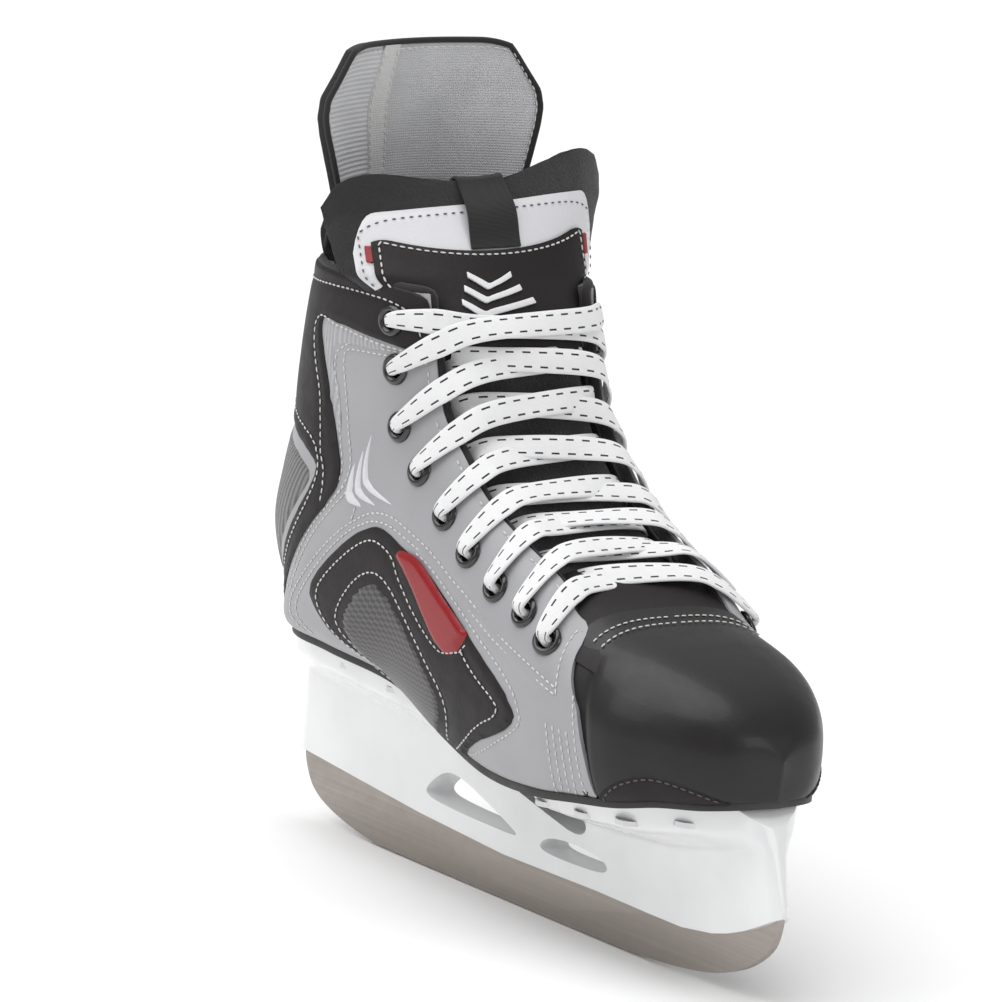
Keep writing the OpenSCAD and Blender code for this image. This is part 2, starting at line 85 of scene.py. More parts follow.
def spline(a: Array, b: Array, c: Array, d: Array, t: Array | float) -> Array:
    """A smooth way from b to c that heeds their neighbours a and d."""
    return (2 * b + (c - a) * t + (2 * a - 5 * b + 4 * c - d) * t ** 2 + (3 * b - a - 3 * c + d) * t ** 3) / 2


class Form:
    """The boot's outer surface, the same one the CAD shells follow."""

    # bottom x, bottom z, top x, top z, half width low, half width, share below widest, half gap of the eyestay
    STATIONS = np.array([
        [124.5, 67, 126, 80, 0, .3, .5, 0], [122, 67, 122.5, 89, 13, 16.5, .45, 0],
        [115, 66, 114, 97, 23, 27, .42, 0], [104, 65, 101, 103, 31, 35, .4, 0],
        [90, 62, 84, 108, 37, 41.5, .36, 0], [74, 60, 56, 115, 40, 44, .35, 28],
        [50, 57, 41, 125, 41, 45, .35, 28.5], [18, 55.5, 24.5, 133, 36, 44, .4, 29.5],
        [-15, 60, 10, 140, 30, 43, .5, 30.5], [-50, 69.5, 0, 148, 26, 42, .55, 31.5],
        [-88, 73, -8, 158, 28, 42, .55, 32], [-118, 74, -13, 166, 23, 42, .53, 32.5],
        [-133, 80, -16, 173, 0, 42, .5, 33], [-142, 98, -19, 180, 0, 42, .5, 33],
        [-138, 118, -22, 186, 0, 42, .5, 33], [-132, 138, -24.5, 191, 0, 42, .5, 33],
        [-130, 158, -27, 195, 0, 42, .5, 33], [-127, 180, -29, 199, 0, 42, .5, 33],
        [-122, 203, -31, 203, 0, 42, .5, 33]], float)
    LAST = len(STATIONS) - 1
    # rough millimetres for one station and for one whole share, used to lay out flat patterns
    FLAT = (14.0, 140.0)

    @classmethod
    def section(cls, u: Array) -> Array:
        """The eight measures at each station in u.

        Args:
            u: stations.
        Returns:
            Eight measures for each station.
        """
        u = np.clip(np.asarray(u, float), 0, cls.LAST - 1e-3)
        i = np.floor(u).astype(int)
        t = (u - i)[..., None]
        a, b, c, d = (cls.STATIONS[np.clip(i + k, 0, cls.LAST)] for k in (-1, 0, 1, 2))
        return spline(a, b, c, d, t)

    @staticmethod
    def fullness(u: Array) -> Array:
        """How square the upper half of a section is."""
        return .62 - .12 * ramp(u, 4.5, 6)

    @classmethod
    def surface(cls, u: Array, v: Array, side: Side) -> Array:
        """Points on the boot's outer surface, in millimetres.

        Args:
            u: stations.
            v: shares of the way from the sole to the instep.
            side: side of the boot.
        Returns:
            One row for each point.
        """
        u, v = np.broadcast_arrays(np.asarray(u, float), np.asarray(v, float))
        q = cls.section(u)
        low = v < .5
        f = np.where(low, v, v - .5) * math.pi
        share = q[..., 6]
        s = np.where(low, share * (1 - np.cos(f)), share + (1 - share) * np.clip(np.sin(f), 0, 1) ** .8)
        base = np.maximum(q[..., 4], 0)
        y = np.where(low, base + (q[..., 5] - base) * np.sin(f),
                     q[..., 5] * np.clip(np.cos(f), 0, 1) ** cls.fullness(u))
        return np.stack([q[..., 0] + (q[..., 2] - q[..., 0]) * s, side.value * y * cls.swing(u, side),
                         q[..., 1] + (q[..., 3] - q[..., 1]) * s], -1)

    @staticmethod
    def swing(u: Array, side: Side) -> Array:
        """How far the lateral side of the toe is drawn in."""
        return 1 - (side is Side.LATERAL) * .10 * ramp(u, 4.6, 2.2)

    @classmethod
    def normal(cls, u: Array, v: Array, side: Side) -> Array:
        """Unit normals pointing out of the boot.

        Args:
            u: stations.
            v: shares of the way from the sole to the instep.
            side: side of the boot.
        Returns:
            One row for each point.
        """
        h = .02
        u, v = np.broadcast_arrays(np.asarray(u, float), np.asarray(v, float))
        a = cls.surface(np.minimum(u + h, cls.LAST), v, side) - cls.surface(np.maximum(u - h, 0), v, side)
        b = cls.surface(u, np.minimum(v + h, 1), side) - cls.surface(u, np.maximum(v - h, 0), side)
        n = np.cross(a, b) * side.value
        return n / np.maximum(np.linalg.norm(n, axis=-1, keepdims=True), 1e-9)

    @classmethod
    def skin(cls, u: Array, v: Array, lift: Array | float, side: Side) -> Array:
        """Points a given distance outside the surface; neither side crosses the middle plane.

        Args:
            u: stations.
            v: shares of the way from the sole to the instep.
            lift: distance outside the surface, in millimetres.
            side: side of the boot.
        Returns:
            One row for each point.
        """
        p = cls.surface(u, v, side) + np.asarray(lift)[..., None] * cls.normal(u, v, side)
        p[..., 1] = side.value * np.maximum(side.value * p[..., 1], 0)
        return p

    @classmethod
    def eyestay(cls, u: Array) -> Array:
        """Share at which the quarter ends beside the tongue."""
        q = cls.section(u)
        return .5 + np.arccos(np.clip(q[..., 7] / q[..., 5], 0, 1) ** (1 / cls.fullness(np.asarray(u)))) / math.pi


# ---------------------------------------------------------------- tools for meshes
def clear_selection() -> None:
    """Leaves object mode with nothing selected."""
    if bpy.context.object and bpy.context.object.mode != "OBJECT":
        bpy.ops.object.mode_set(mode="OBJECT")
    bpy.ops.object.select_all(action="DESELECT")


def take(piece: Piece) -> Piece:
    """Makes a piece the only selected and the active one.

    Args:
        piece: the piece.
    Returns:
        The same piece.
    """
    clear_selection()
    piece.select_set(True)
    bpy.context.view_layer.objects.active = piece
    return piece


@contextmanager
def editing(piece: Piece) -> Iterator[None]:
    """Edit mode on a piece, with all of it selected, for as long as the block lasts."""
    take(piece)
    bpy.ops.object.mode_set(mode="EDIT")
    bpy.ops.mesh.select_all(action="SELECT")
    yield
    bpy.ops.object.mode_set(mode="OBJECT")


def finish_with(piece: Piece, kind: str, **settings: object) -> Piece:
    """Adds a modifier with its settings and applies it.

    Args:
        piece: the piece to change.
        kind: Blender's name for the modifier type.
        settings: values for its properties.
    Returns:
        The same piece.
    """
    take(piece)
    m = piece.modifiers.new(kind.title(), kind)
    for key, value in settings.items():
        setattr(m, key, value)
    bpy.ops.object.modifier_apply(modifier=m.name)
    return piece


def smooth(piece: Piece, degrees: float = 40) -> Piece:
    """Shades a piece smooth apart from its real edges.

    Args:
        piece: the piece.
        degrees: the angle from which an edge stays sharp.
    Returns:
        The same piece.
    """
    take(piece)
    bpy.ops.object.shade_smooth_by_angle(angle=math.radians(degrees))
    return piece


def weld(piece: Piece, distance: float = .02) -> Piece:
    """Merges doubles and turns every face outwards.

    Args:
        piece: the piece.
        distance: how close doubles lie, in millimetres.
    Returns:
        The same piece.
    """
    with editing(piece):
        bpy.ops.mesh.remove_doubles(threshold=distance * MM)
        bpy.ops.mesh.normals_make_consistent(inside=False)
    return piece


def thicken(piece: Piece, thick: float, offset: float) -> Piece:
    """Gives a sheet a wall of a thickness in millimetres; offset is -1 behind its faces, 1 in front."""
    return finish_with(piece, "SOLIDIFY", thickness=thick * MM, offset=offset, use_even_offset=False)


def ease(piece: Piece, width: float, segments: int = 2, degrees: float = 30) -> Piece:
    """Rounds the edges that are sharper than an angle by a width in millimetres."""
    return finish_with(piece, "BEVEL", width=width * MM, segments=segments, limit_method="ANGLE",
                       angle_limit=math.radians(degrees))


def back_wall(piece: Piece, thick: float) -> None:
    """Gives a sheet a wall of a thickness in millimetres towards the heel.

    Args:
        piece: the piece.
        thick: thickness in millimetres.
    """
    if sum(f.normal.x * f.area for f in piece.data.polygons) <= 0:
        with editing(piece):
            bpy.ops.mesh.flip_normals()
    thicken(piece, thick, -1)


def piece_from(name: str, points: Array, faces: Sequence[Sequence[int]], flat: Array | None = None) -> Piece:
    """A mesh piece from points in millimetres.

    Args:
        name: the piece's name.
        points: one row per corner.
        faces: corner numbers of each face.
        flat: pattern coordinates of each corner, kept as a UV map.
    Returns:
        The new piece.
    """
    mesh = bpy.data.meshes.new(name)
    mesh.from_pydata((points * MM).tolist(), [], [list(map(int, f)) for f in faces])
    if flat is not None:
        layer = mesh.uv_layers.new(name="pattern")
        corners = np.empty(len(mesh.loops), int)
        mesh.loops.foreach_get("vertex_index", corners)
        layer.data.foreach_set("uv", (flat[corners] * PATTERN).ravel())
    piece = bpy.data.objects.new(name, mesh)
    bpy.context.collection.objects.link(piece)
    return piece


def sheet_piece(name: str, across: int, along: int, place: Callable[[Array, Array], Array],
                size: Pair = (10, 10)) -> Piece:
    """A grid primitive whose corners are moved onto a form.

    Args:
        name: the piece's name.
        across: faces in the first direction.
        along: faces in the second direction.
        place: gives points in millimetres for two arrays that run from 0 to 1.
        size: pattern millimetres in both directions.
    Returns:
        The new piece.
    """
    clear_selection()
    bpy.ops.mesh.primitive_grid_add(x_subdivisions=across, y_subdivisions=along, size=1, calc_uvs=True)
    piece = bpy.context.object
    piece.name = piece.data.name = name
    flat = np.empty(len(piece.data.vertices) * 3)
    piece.data.vertices.foreach_get("co", flat)
    st = flat.reshape(-1, 3)[:, :2] + .5
    piece.data.vertices.foreach_set("co", (place(st[:, 0], st[:, 1]) * MM).ravel())
    layer = piece.data.uv_layers[0]
    layer.name = "pattern"
    corners = np.empty(len(piece.data.loops), int)
    piece.data.loops.foreach_get("vertex_index", corners)
    layer.data.foreach_set("uv", (st[corners] * np.array(size) * PATTERN).ravel())
    piece.data.update()
    return piece


def rounded(path: Sequence[Pair] | Array, closed: bool, times: int = 2) -> Array:
    """Cuts the corners of a path so that it runs smoothly.

    Args:
        path: points of the path.
        closed: whether it is a loop.
        times: how often the corners are cut.
    Returns:
        One row for each point.
    """
    p = np.asarray(path, float)
    for _ in range(times):
        q = np.roll(p, -1, 0) if closed else p[1:]
        a = p if closed else p[:-1]
        cut = np.stack([a * .75 + q * .25, a * .25 + q * .75], 1).reshape(-1, p.shape[1])
        p = cut if closed else np.vstack([p[:1], cut, p[-1:]])
    return p


def run_of(path: Array) -> Array:
    """Distance along a path at each of its points."""
    return np.concatenate([[0], np.cumsum(np.linalg.norm(np.diff(path, axis=0), axis=1))])


def sideways(path: Array) -> Array:
    """Unit directions to the left of a flat path."""
    t = np.gradient(path, axis=0)
    return np.stack([-t[:, 1], t[:, 0]], 1) / np.linalg.norm(t, axis=1, keepdims=True)


def grid_faces(rows: int, along: int, wrap_rows: bool = False, wrap_along: bool = True) -> list[list[int]]:
    """Faces between rows of points.

    Args:
        rows: how many rows there are.
        along: points in each row.
        wrap_rows: whether the last row joins the first.
        wrap_along: whether each row is a ring.
    Returns:
        The corner numbers of each face.
    """
    return [[i * along + j, i * along + (j + 1) % along, (i + 1) % rows * along + (j + 1) % along,
             (i + 1) % rows * along + j]
            for i in range(rows if wrap_rows else rows - 1) for j in range(along if wrap_along else along - 1)]


def evenly(path: Array, step: float, closed: bool = False) -> Array:
    """Points a step apart along a path.

    Args:
        path: points of the path.
        step: distance between two points.
        closed: whether it is a loop.
    Returns:
        One row for each point.
    """
    p = np.vstack([path, path[:1]]) if closed else path
    d = run_of(p)
    n = max(int(round(d[-1] / step)), 3 if closed else 1)
    at = np.linspace(0, d[-1], n + 1)
    if closed:
        at = at[:-1]
    return np.stack([np.interp(at, d, p[:, k]) for k in range(p.shape[1])], 1)


def inside(points: Array, loop: Array) -> Array:
    """Which flat points lie in a closed loop.

    Args:
        points: the points.
        loop: corners of the loop.
    Returns:
        Which points are inside.
    """
    x, y = points[:, :1], points[:, 1:]
    a, b = loop, np.roll(loop, -1, 0)
    crosses = ((a[:, 1] > y) != (b[:, 1] > y)) & (
        x < (b[:, 0] - a[:, 0]) * (y - a[:, 1]) / (b[:, 1] - a[:, 1] + 1e-12) + a[:, 0])
    return crosses.sum(1) % 2 == 1


def nearest(points: Array, others: Array) -> Array:
    """Distance from each point to the nearest of the others.

    Args:
        points: the points.
        others: the points to measure to.
    Returns:
        One distance for each point.
    """
    if not len(others):
        return np.full(len(points), 1e3)
    return np.sqrt(np.concatenate([((c[:, None] - others[None]) ** 2).sum(-1).min(1)
                                   for c in np.array_split(points, max(1, len(points) // 400))]))


def pad_out(piece: Piece, depth: float, scale: float = 16) -> Piece:
    """Gives a padded piece the soft unevenness of its filling.

    Args:
        piece: the pad.
        depth: how far its skin swells and sinks, in millimetres.
        scale: size of a swelling, in millimetres.
    Returns:
        The same piece.
    """
    cloud = bpy.data.textures.new(piece.name + "_filling", "CLOUDS")
    cloud.noise_scale = scale * MM
    return finish_with(piece, "DISPLACE", texture=cloud, texture_coords="LOCAL", mid_level=.5, strength=depth * MM)


def tube(name: str, path: Array, radius: float, sides: int = 10) -> Piece:
    """A round cord along a path, closed at both ends.

    Args:
        name: its name.
        path: points of its middle line.
        radius: its radius, in millimetres.
        sides: sides of its section.
    Returns:
        The piece.
    """
    curve = bpy.data.curves.new(name, "CURVE")
    curve.dimensions = "3D"
    curve.bevel_depth = radius * MM
    curve.bevel_resolution = max(1, sides // 4)
    curve.use_fill_caps = True
    line = curve.splines.new("POLY")
    line.points.add(len(path) - 1)
    line.points.foreach_set("co", np.hstack([path * MM, np.ones((len(path), 1))]).ravel())
    piece = bpy.data.objects.new(name, curve)
    bpy.context.collection.objects.link(piece)
    take(piece)
    bpy.ops.object.convert(target="MESH")
    return smooth(bpy.context.object, 60)


@dataclass
class Seam:
    """A row of stitches along a path on the boot."""

    path: Sequence[Pair]
    lift: float = .25
    twin: float = 0
    round_off: int = 2


@dataclass(frozen=True)
class Stitch:
    """One stitch and its spacing."""

    length: float = 2.05
    pitch: float = 2.75
    half: float = .34

    def rows(self, line: Array, up: Array) -> list[Matrix]:
        """Where the stitches lie on a line of points with its outward directions.

        Args:
            line: points in millimetres.
            up: outward direction at each point.
        Returns:
            The place of each stitch.
        """
        d = run_of(line)
        spots = np.arange(self.pitch / 2, d[-1], self.pitch)
        out = []
        for at in spots:
            a, b = (np.array([np.interp(x, d, line[:, k]) for k in range(3)]) for x in (at - .8, at + .8))
            n = np.array([np.interp(at, d, up[:, k]) for k in range(3)])
            x = Vector(b - a).normalized()
            y = Vector(n).cross(x).normalized()
            z = x.cross(y)
            m = Matrix((x, y, z)).transposed().to_4x4()
            m.translation = Vector((a + b) / 2)
            out.append(m)
        return out

    def piece(self, name: str, rows: list[Matrix]) -> Piece:
        """All stitches of a piece: one is modelled, the rest are copies of it.

        Args:
            name: its name.
            rows: place of each stitch.
        Returns:
            The piece.
        """
        clear_selection()
        bpy.ops.mesh.primitive_uv_sphere_add(segments=6, ring_count=4, radius=1, rotation=(0, math.pi / 2, 0))
        one = bpy.context.object
        bpy.ops.object.transform_apply(rotation=True)
        co = np.array([v.co[:] for v in one.data.vertices]) * (self.length / 2, self.half, self.half * .75)
        faces = [list(f.vertices) for f in one.data.polygons]
        bpy.data.objects.remove(one)
        points, out = [], []
        for k, m in enumerate(rows):
            r = np.array(m.to_3x3())
            points.append(co @ r.T + np.array(m.translation))
            out += [[i + k * len(co) for i in f] for f in faces]
        return smooth(piece_from(name, np.vstack(points), out), 80)


THREAD = Stitch()
FINE_THREAD = Stitch(1.5, 3.0, .3)


def flat_of(path: Array) -> Array:
    """Flat pattern millimetres for stations and shares."""
    return path * Form.FLAT


def seam_lines(seams: Sequence[Seam]) -> list[tuple[Array, float]]:
    """The single lines of stitching, in stations and shares, with their lifts.

    Args:
        seams: rows of stitches.
    Returns:
        Each line with its lift.
    """
    lines = []
    for seam in seams:
        p = rounded(seam.path, False, seam.round_off)
        p = evenly(flat_of(p), 1.2)
        if seam.twin:
            aside = sideways(p) * seam.twin / 2
            lines += [((p - aside) / Form.FLAT, seam.lift), ((p + aside) / Form.FLAT, seam.lift)]
        else:
            lines.append((p / Form.FLAT, seam.lift))
    return lines


def boot_stitches(name: str, seams: Sequence[Seam], side: Side, stitch: Stitch = THREAD) -> Piece:
    """Stitches along seams that lie on the boot.

    Args:
        name: its name.
        seams: rows of stitches.
        side: side of the boot.
        stitch: the stitch to sew with.
    Returns:
        The piece.
    """
    rows = []
    for uv, lift in seam_lines(seams):
        u, v = uv[:, 0], np.clip(uv[:, 1], .002, 1)
        rows += stitch.rows(Form.skin(u, v, lift, side), Form.normal(u, v, side))
    return stitch.piece(name, rows)


def boot_panel(name: str, outline: Sequence[Pair], side: Side, lift: float, seams: Sequence[Seam] = (),
               spacing: float = 1.5, round_off: int = 2, holes: Sequence[Pair] = (), hole: float = 3.7,
               below: float = .3, ridges: Sequence[Seam] = (), ridge: float = .9, roll: float = 1.0) -> Piece:
    """A panel of a given outline lying on the boot, with a rolled edge and its seams pulled in.

    Args:
        name: the piece's name.
        outline: its corners in stations and shares.
        side: the side of the boot.
        lift: how far its face stands over the boot's surface.
        seams: rows of stitches that pull the face in.
        spacing: distance between mesh points.
        round_off: how often the corners are cut.
        holes: eyelet places left open.
        hole: radius of such a hole.
        below: how far the panel reaches under the surface.
        ridges: raised lines.
        ridge: their height.
        roll: width of the rolled edge.
    Returns:
        The new piece.
    """
    loop = evenly(flat_of(rounded(outline, True, round_off)), spacing, True)
    lo, hi = loop.min(0), loop.max(0)
    xs, ys = np.arange(lo[0], hi[0], spacing), np.arange(lo[1], hi[1], spacing * .866)
    gx, gy = np.meshgrid(xs, ys)
    gx = gx + (np.arange(len(ys)) % 2)[:, None] * spacing / 2
    grid = np.stack([gx.ravel(), gy.ravel()], 1)
    grid = grid[inside(grid, loop)]
    grid = grid[nearest(grid, loop) > spacing * .55]
    flat = np.vstack([loop, grid])
    n = len(loop)
    corners, _, faces, *_ = delaunay_2d_cdt([Vector(p) for p in flat], [(i, (i + 1) % n) for i in range(n)], [], 1,
                                            1e-4)
    flat = np.array([c[:] for c in corners])
    uv = flat / Form.FLAT
    uv[:, 1] = np.clip(uv[:, 1], 0, 1)
    rim = nearest(flat, loop)
    up = lift - (lift * .55) * np.exp(-(rim / (roll * .5)) ** 2)
    lines = [flat_of(q) for q, _ in seam_lines(seams)]
    if lines:
        up = up - SEAM_DEPTH * np.exp(-(nearest(flat, np.vstack(lines)) / SEAM_WIDTH) ** 2)
    if ridges:
        raised = [flat_of(q) for q, _ in seam_lines(ridges)]
        up = up + ridge * np.exp(-(nearest(flat, np.vstack(raised)) / RIDGE_WIDTH) ** 2)
    points = Form.skin(uv[:, 0], uv[:, 1], up, side)
    faces = np.array([f for f in faces if len(f) == 3])
    if len(holes):
        centres = np.array([Form.surface(u, v, side) for u, v in holes])
        far = nearest(points[faces].mean(1), centres) > hole
        faces = faces[far]
    a, b, c = (points[faces[:, k]] for k in range(3))
    out = Form.normal(uv[faces[:, 0], 0], uv[faces[:, 0], 1], side)
    wrong = (np.cross(b - a, c - a) * out).sum(1) < 0
    faces[wrong] = faces[wrong][:, ::-1]
    used = np.unique(faces)
    new = np.full(len(points), -1)
    new[used] = np.arange(len(used))
    piece = piece_from(name, points[used], new[faces], flat[used])
    thicken(piece, lift + below, -1)
    return smooth(piece, 50)


# ---------------------------------------------------------------- finishes
class Nodes:
    """Adds nodes to a tree and links them."""

    def __init__(self, tree: bpy.types.NodeTree) -> None:
        """Takes the tree to build in."""
        self.tree = tree

    def node(self, kind: str, links: dict | None = None, **settings: object) -> bpy.types.Node:
        """Adds a node.

        Args:
            kind: its type, without the ShaderNode prefix.
            links: an output socket or a value for each named or numbered input.
            settings: values for its properties.
        Returns:
            The node.
        """
        n = self.tree.nodes.new("ShaderNode" + kind)
        for key, value in settings.items():
            setattr(n, key, value)
        for key, value in (links or {}).items():
            if isinstance(value, Socket):
                self.tree.links.new(value, n.inputs[key])
            else:
                n.inputs[key].default_value = value
        return n


class Paint(Nodes):
    """Builds one material's nodes around its Principled shader."""

    def __init__(self, name: str) -> None:
        """Starts a named material with nothing but its shader and output.

        Args:
            name: its name.
        """
        self.material = bpy.data.materials.new(name)
        self.material.use_nodes = True
        super().__init__(self.material.node_tree)
        self.shader = self.tree.nodes["Principled BSDF"]

    def math(self, operation: str, a: object, b: object = 0.0, clamp: bool = False) -> Socket:
        """A sum, product or comparison of two values."""
        return self.node("Math", {0: a, 1: b}, operation=operation, use_clamp=clamp).outputs[0]

    def mix(self, share: object, a: Sequence[float] | object, b: Sequence[float] | object) -> Socket:
        """A mix of two colours."""
        first, second = ((*x, 1) if isinstance(x, tuple) and len(x) == 3 else x for x in (a, b))
        return self.node("Mix", {0: share, 6: first, 7: second}, data_type="RGBA").outputs[2]

    def place(self) -> Socket:
        """Object coordinates."""
        return self.node("TexCoord").outputs["Object"]

    def pattern(self) -> Socket:
        """The piece's own flat pattern coordinates: .01 is a millimetre."""
        return self.node("UVMap", uv_map="pattern").outputs[0]

    def bump(self, height: object, distance: float, strength: float = 1.0) -> None:
        """Raises the surface by a height in millimetres."""
        n = self.node("Bump", {"Height": height, "Distance": distance * MM, "Strength": strength})
        self.tree.links.new(n.outputs[0], self.shader.inputs["Normal"])

    def feed(self, socket: str, value: object) -> None:
        """Sets or links one of the shader's sockets.

        Args:
            socket: name of the socket.
            value: a value, a colour or a node's output.
        """
        if isinstance(value, Socket):
            self.tree.links.new(value, self.shader.inputs[socket])
        else:
            self.shader.inputs[socket].default_value = (*value, 1) if isinstance(value, tuple) else value

    def use(self, group: bpy.types.NodeTree, **links: object) -> bpy.types.Node:
        """Places a node group with its own values."""
        return self.node("Group", links, node_tree=group)


class Effect(Nodes):
    """A shader node group that takes a place and a scale."""

    def __init__(self, name: str) -> None:
        """Starts a named group.

        Args:
            name: its name.
        """
        super().__init__(bpy.data.node_groups.new(name, "ShaderNodeTree"))
        for key, kind in (("Vector", "NodeSocketVector"), ("Scale", "NodeSocketFloat")):
            self.tree.interface.new_socket(key, in_out="INPUT", socket_type=kind)
        given = self.tree.nodes.new("NodeGroupInput").outputs
        self.where, self.scale = given["Vector"], given["Scale"]

    def close(self, **values: Socket) -> bpy.types.NodeTree:
        """Gives the group its outputs and returns it.

        Returns:
            The node group.
        """
        for key in values:
            self.tree.interface.new_socket(key, in_out="OUTPUT", socket_type="NodeSocketFloat")
        end = self.tree.nodes.new("NodeGroupOutput")
        for key, value in values.items():
            self.tree.links.new(value, end.inputs[key])
        return self.tree


class Effects:
    """Shader node groups that several finishes share."""

    def __init__(self) -> None:
        """Builds every group once."""
        self.grain = self._grain()
        self.fibre = self._fibre()
        self.wear = self._wear()

    @staticmethod
    def _grain() -> bpy.types.NodeTree:
        """Pebbled grain of coated synthetic leather.

        Returns:
            The node group.
        """
        g = Effect("leather_grain")
        cells = g.node("TexVoronoi", {"Vector": g.where, "Scale": g.scale}, feature="SMOOTH_F1")
        soft = g.node("TexNoise", {"Vector": g.where, "Scale": 45, "Detail": 3})
        height = g.node("Math", {0: cells.outputs["Distance"], 1: .8, 2: soft.outputs[0]}, operation="MULTIPLY_ADD")
        return g.close(Height=height.outputs[0], Tone=soft.outputs[0])

    @staticmethod
    def _fibre() -> bpy.types.NodeTree:
        """Short matted fibres of felt, lace and knit.

        Returns:
            The node group.
        """
        g = Effect("matted_fibre")
        fine = g.node("TexNoise", {"Vector": g.where, "Scale": g.scale, "Detail": 6, "Roughness": .72,
                                   "Distortion": .9})
        broad = g.node("TexNoise", {"Vector": g.where, "Scale": 60})
        return g.close(Height=fine.outputs[0], Tone=broad.outputs[0])

    @staticmethod
    def _wear() -> bpy.types.NodeTree:
        """Fine scuffs that break up a gloss.

        Returns:
            The node group.
        """
        g = Effect("fine_scuffs")
        fine = g.node("TexNoise", {"Vector": g.where, "Scale": g.scale, "Detail": 8, "Roughness": .65})
        return g.close(Mask=g.node("MapRange", {0: fine.outputs[0], 1: .35, 2: .75}).outputs[0])


@dataclass(frozen=True)
class Coated:
    """Coated synthetic leather or moulded plastic."""

    name: str
    color: tuple[float, float, float]
    rough: float
    grain: float = 900
    depth: float = .1
    coat: float = 0.0
    specular: float = .5

    def make(self, fx: Effects) -> bpy.types.Material:
        """Builds the material.

        Args:
            fx: the shared node groups.
        Returns:
            The material.
        """
        p = Paint(self.name)
        where = p.place()
        grain = p.use(fx.grain, Vector=where, Scale=self.grain)
        scuff = p.use(fx.wear, Vector=where, Scale=140.0)
        light = tuple(min(1, c * 1.1 + .001) for c in self.color)
        p.feed("Base Color", p.mix(grain.outputs["Tone"], tuple(c * .93 for c in self.color), light))
        p.feed("Roughness", p.math("ADD", p.math("MULTIPLY", scuff.outputs[0], .12), self.rough - .04))
        p.feed("Coat Weight", self.coat)
        p.feed("Coat Roughness", .12)
        p.feed("Specular IOR Level", self.specular)
        p.bump(grain.outputs["Height"], self.depth)
        return p.material


@dataclass(frozen=True)
class Cloth:
    """Felt, knit or webbing, with an optional rib and a yarn pattern; the grooves between ribs and yarns get painted
    shade.
    """

    name: str
    color: tuple[float, float, float]
    fibre: float = 1500
    depth: float = .25
    rib: float = 0.0
    rib_turn: float = 0.0
    # how strongly the grooves between ribs or yarns are darkened, as painted shade
    groove_shade: float = .35
    yarn: float = 0.0
    sheen: float = .3
    rough: float = .92

    def make(self, fx: Effects) -> bpy.types.Material:
        """Builds the material.

        Args:
            fx: the shared node groups.
        Returns:
            The material.
        """
        p = Paint(self.name)
        fibre = p.use(fx.fibre, Vector=p.place(), Scale=self.fibre)
        height: object = fibre.outputs["Height"]
        color = p.mix(fibre.outputs["Tone"], tuple(c * .8 for c in self.color),
                      tuple(min(1, c * 1.15) for c in self.color))
        color = p.mix(p.math("MULTIPLY", fibre.outputs["Height"], .5), color, tuple(c * .55 for c in self.color))
        if self.rib or self.yarn:
            turned = p.node("Mapping", {"Vector": p.pattern(), "Rotation": (0, 0, self.rib_turn)}).outputs[0]
            pick = p.node("SeparateXYZ", {0: turned})
            wave = p.math("SINE", p.math("MULTIPLY", pick.outputs[1], WAVE / (self.rib or self.yarn)))
            high = p.math("ADD", p.math("MULTIPLY", wave, .5), .5)
            if self.yarn:
                other = p.math("SINE", p.math("MULTIPLY", pick.outputs[0], WAVE / self.yarn))
                high = p.math("MULTIPLY", high, p.math("ADD", p.math("MULTIPLY", other, .5), .5))
            # painted shade: the colour darkens towards a quarter of its value in the troughs, where the bump is lowest
            color = p.mix(p.math("MULTIPLY", p.math("SUBTRACT", 1.0, high), self.groove_shade), color,
                          tuple(c * .25 for c in self.color))
            height = p.math("ADD", p.math("MULTIPLY", high, 1.4), height)
        p.feed("Base Color", color)
        p.feed("Roughness", self.rough)
        p.feed("Sheen Weight", self.sheen)
        p.feed("Sheen Roughness", .5)
        p.bump(height, self.depth)
        return p.material


@dataclass(frozen=True)
class FlatLace:
    """White flat lace with dark dashes woven in along both edges."""

    name: str = "woven_lace"
    dash: float = 3.0
    repeat: float = 6.2
    line: float = .075

    def make(self, fx: Effects) -> bpy.types.Material:
        """Builds the material; the pattern runs along the lace, and from -1 to 1 across it.

        Args:
            fx: the shared node groups.
        Returns:
            The material.
        """
        p = Paint(self.name)
        pick = p.node("SeparateXYZ", {0: p.pattern()})
        along = p.math("MULTIPLY", pick.outputs[0], 1 / PATTERN)
        across = pick.outputs[1]
        on = p.math("LESS_THAN", p.math("MODULO", along, self.repeat), self.dash)
        near = p.math("LESS_THAN", p.math("ABSOLUTE", p.math("SUBTRACT", p.math("ABSOLUTE", across), .58)), self.line)
        tracer = p.math("MULTIPLY", on, near)
        plait = p.math("SINE", p.math("MULTIPLY", p.math("ADD", along, p.math("MULTIPLY", across, 4.0)), 7.5))
        back = p.math("SINE", p.math("MULTIPLY", p.math("SUBTRACT", along, p.math("MULTIPLY", across, 4.0)), 7.5))
        weave = p.math("MULTIPLY", plait, back)
        fibre = p.use(fx.fibre, Vector=p.place(), Scale=1800.0)
        white = p.mix(fibre.outputs["Tone"], (.86, .86, .87), (.95, .95, .95))
        white = p.mix(p.math("MULTIPLY", p.math("ADD", weave, 1.0), .06), white, (.5, .5, .53))
        p.feed("Base Color", p.mix(tracer, white, (.02, .02, .02)))
        p.feed("Roughness", .9)
        p.feed("Sheen Weight", .2)
        p.bump(p.math("ADD", p.math("MULTIPLY", weave, .6), fibre.outputs["Height"]), .12)
        return p.material


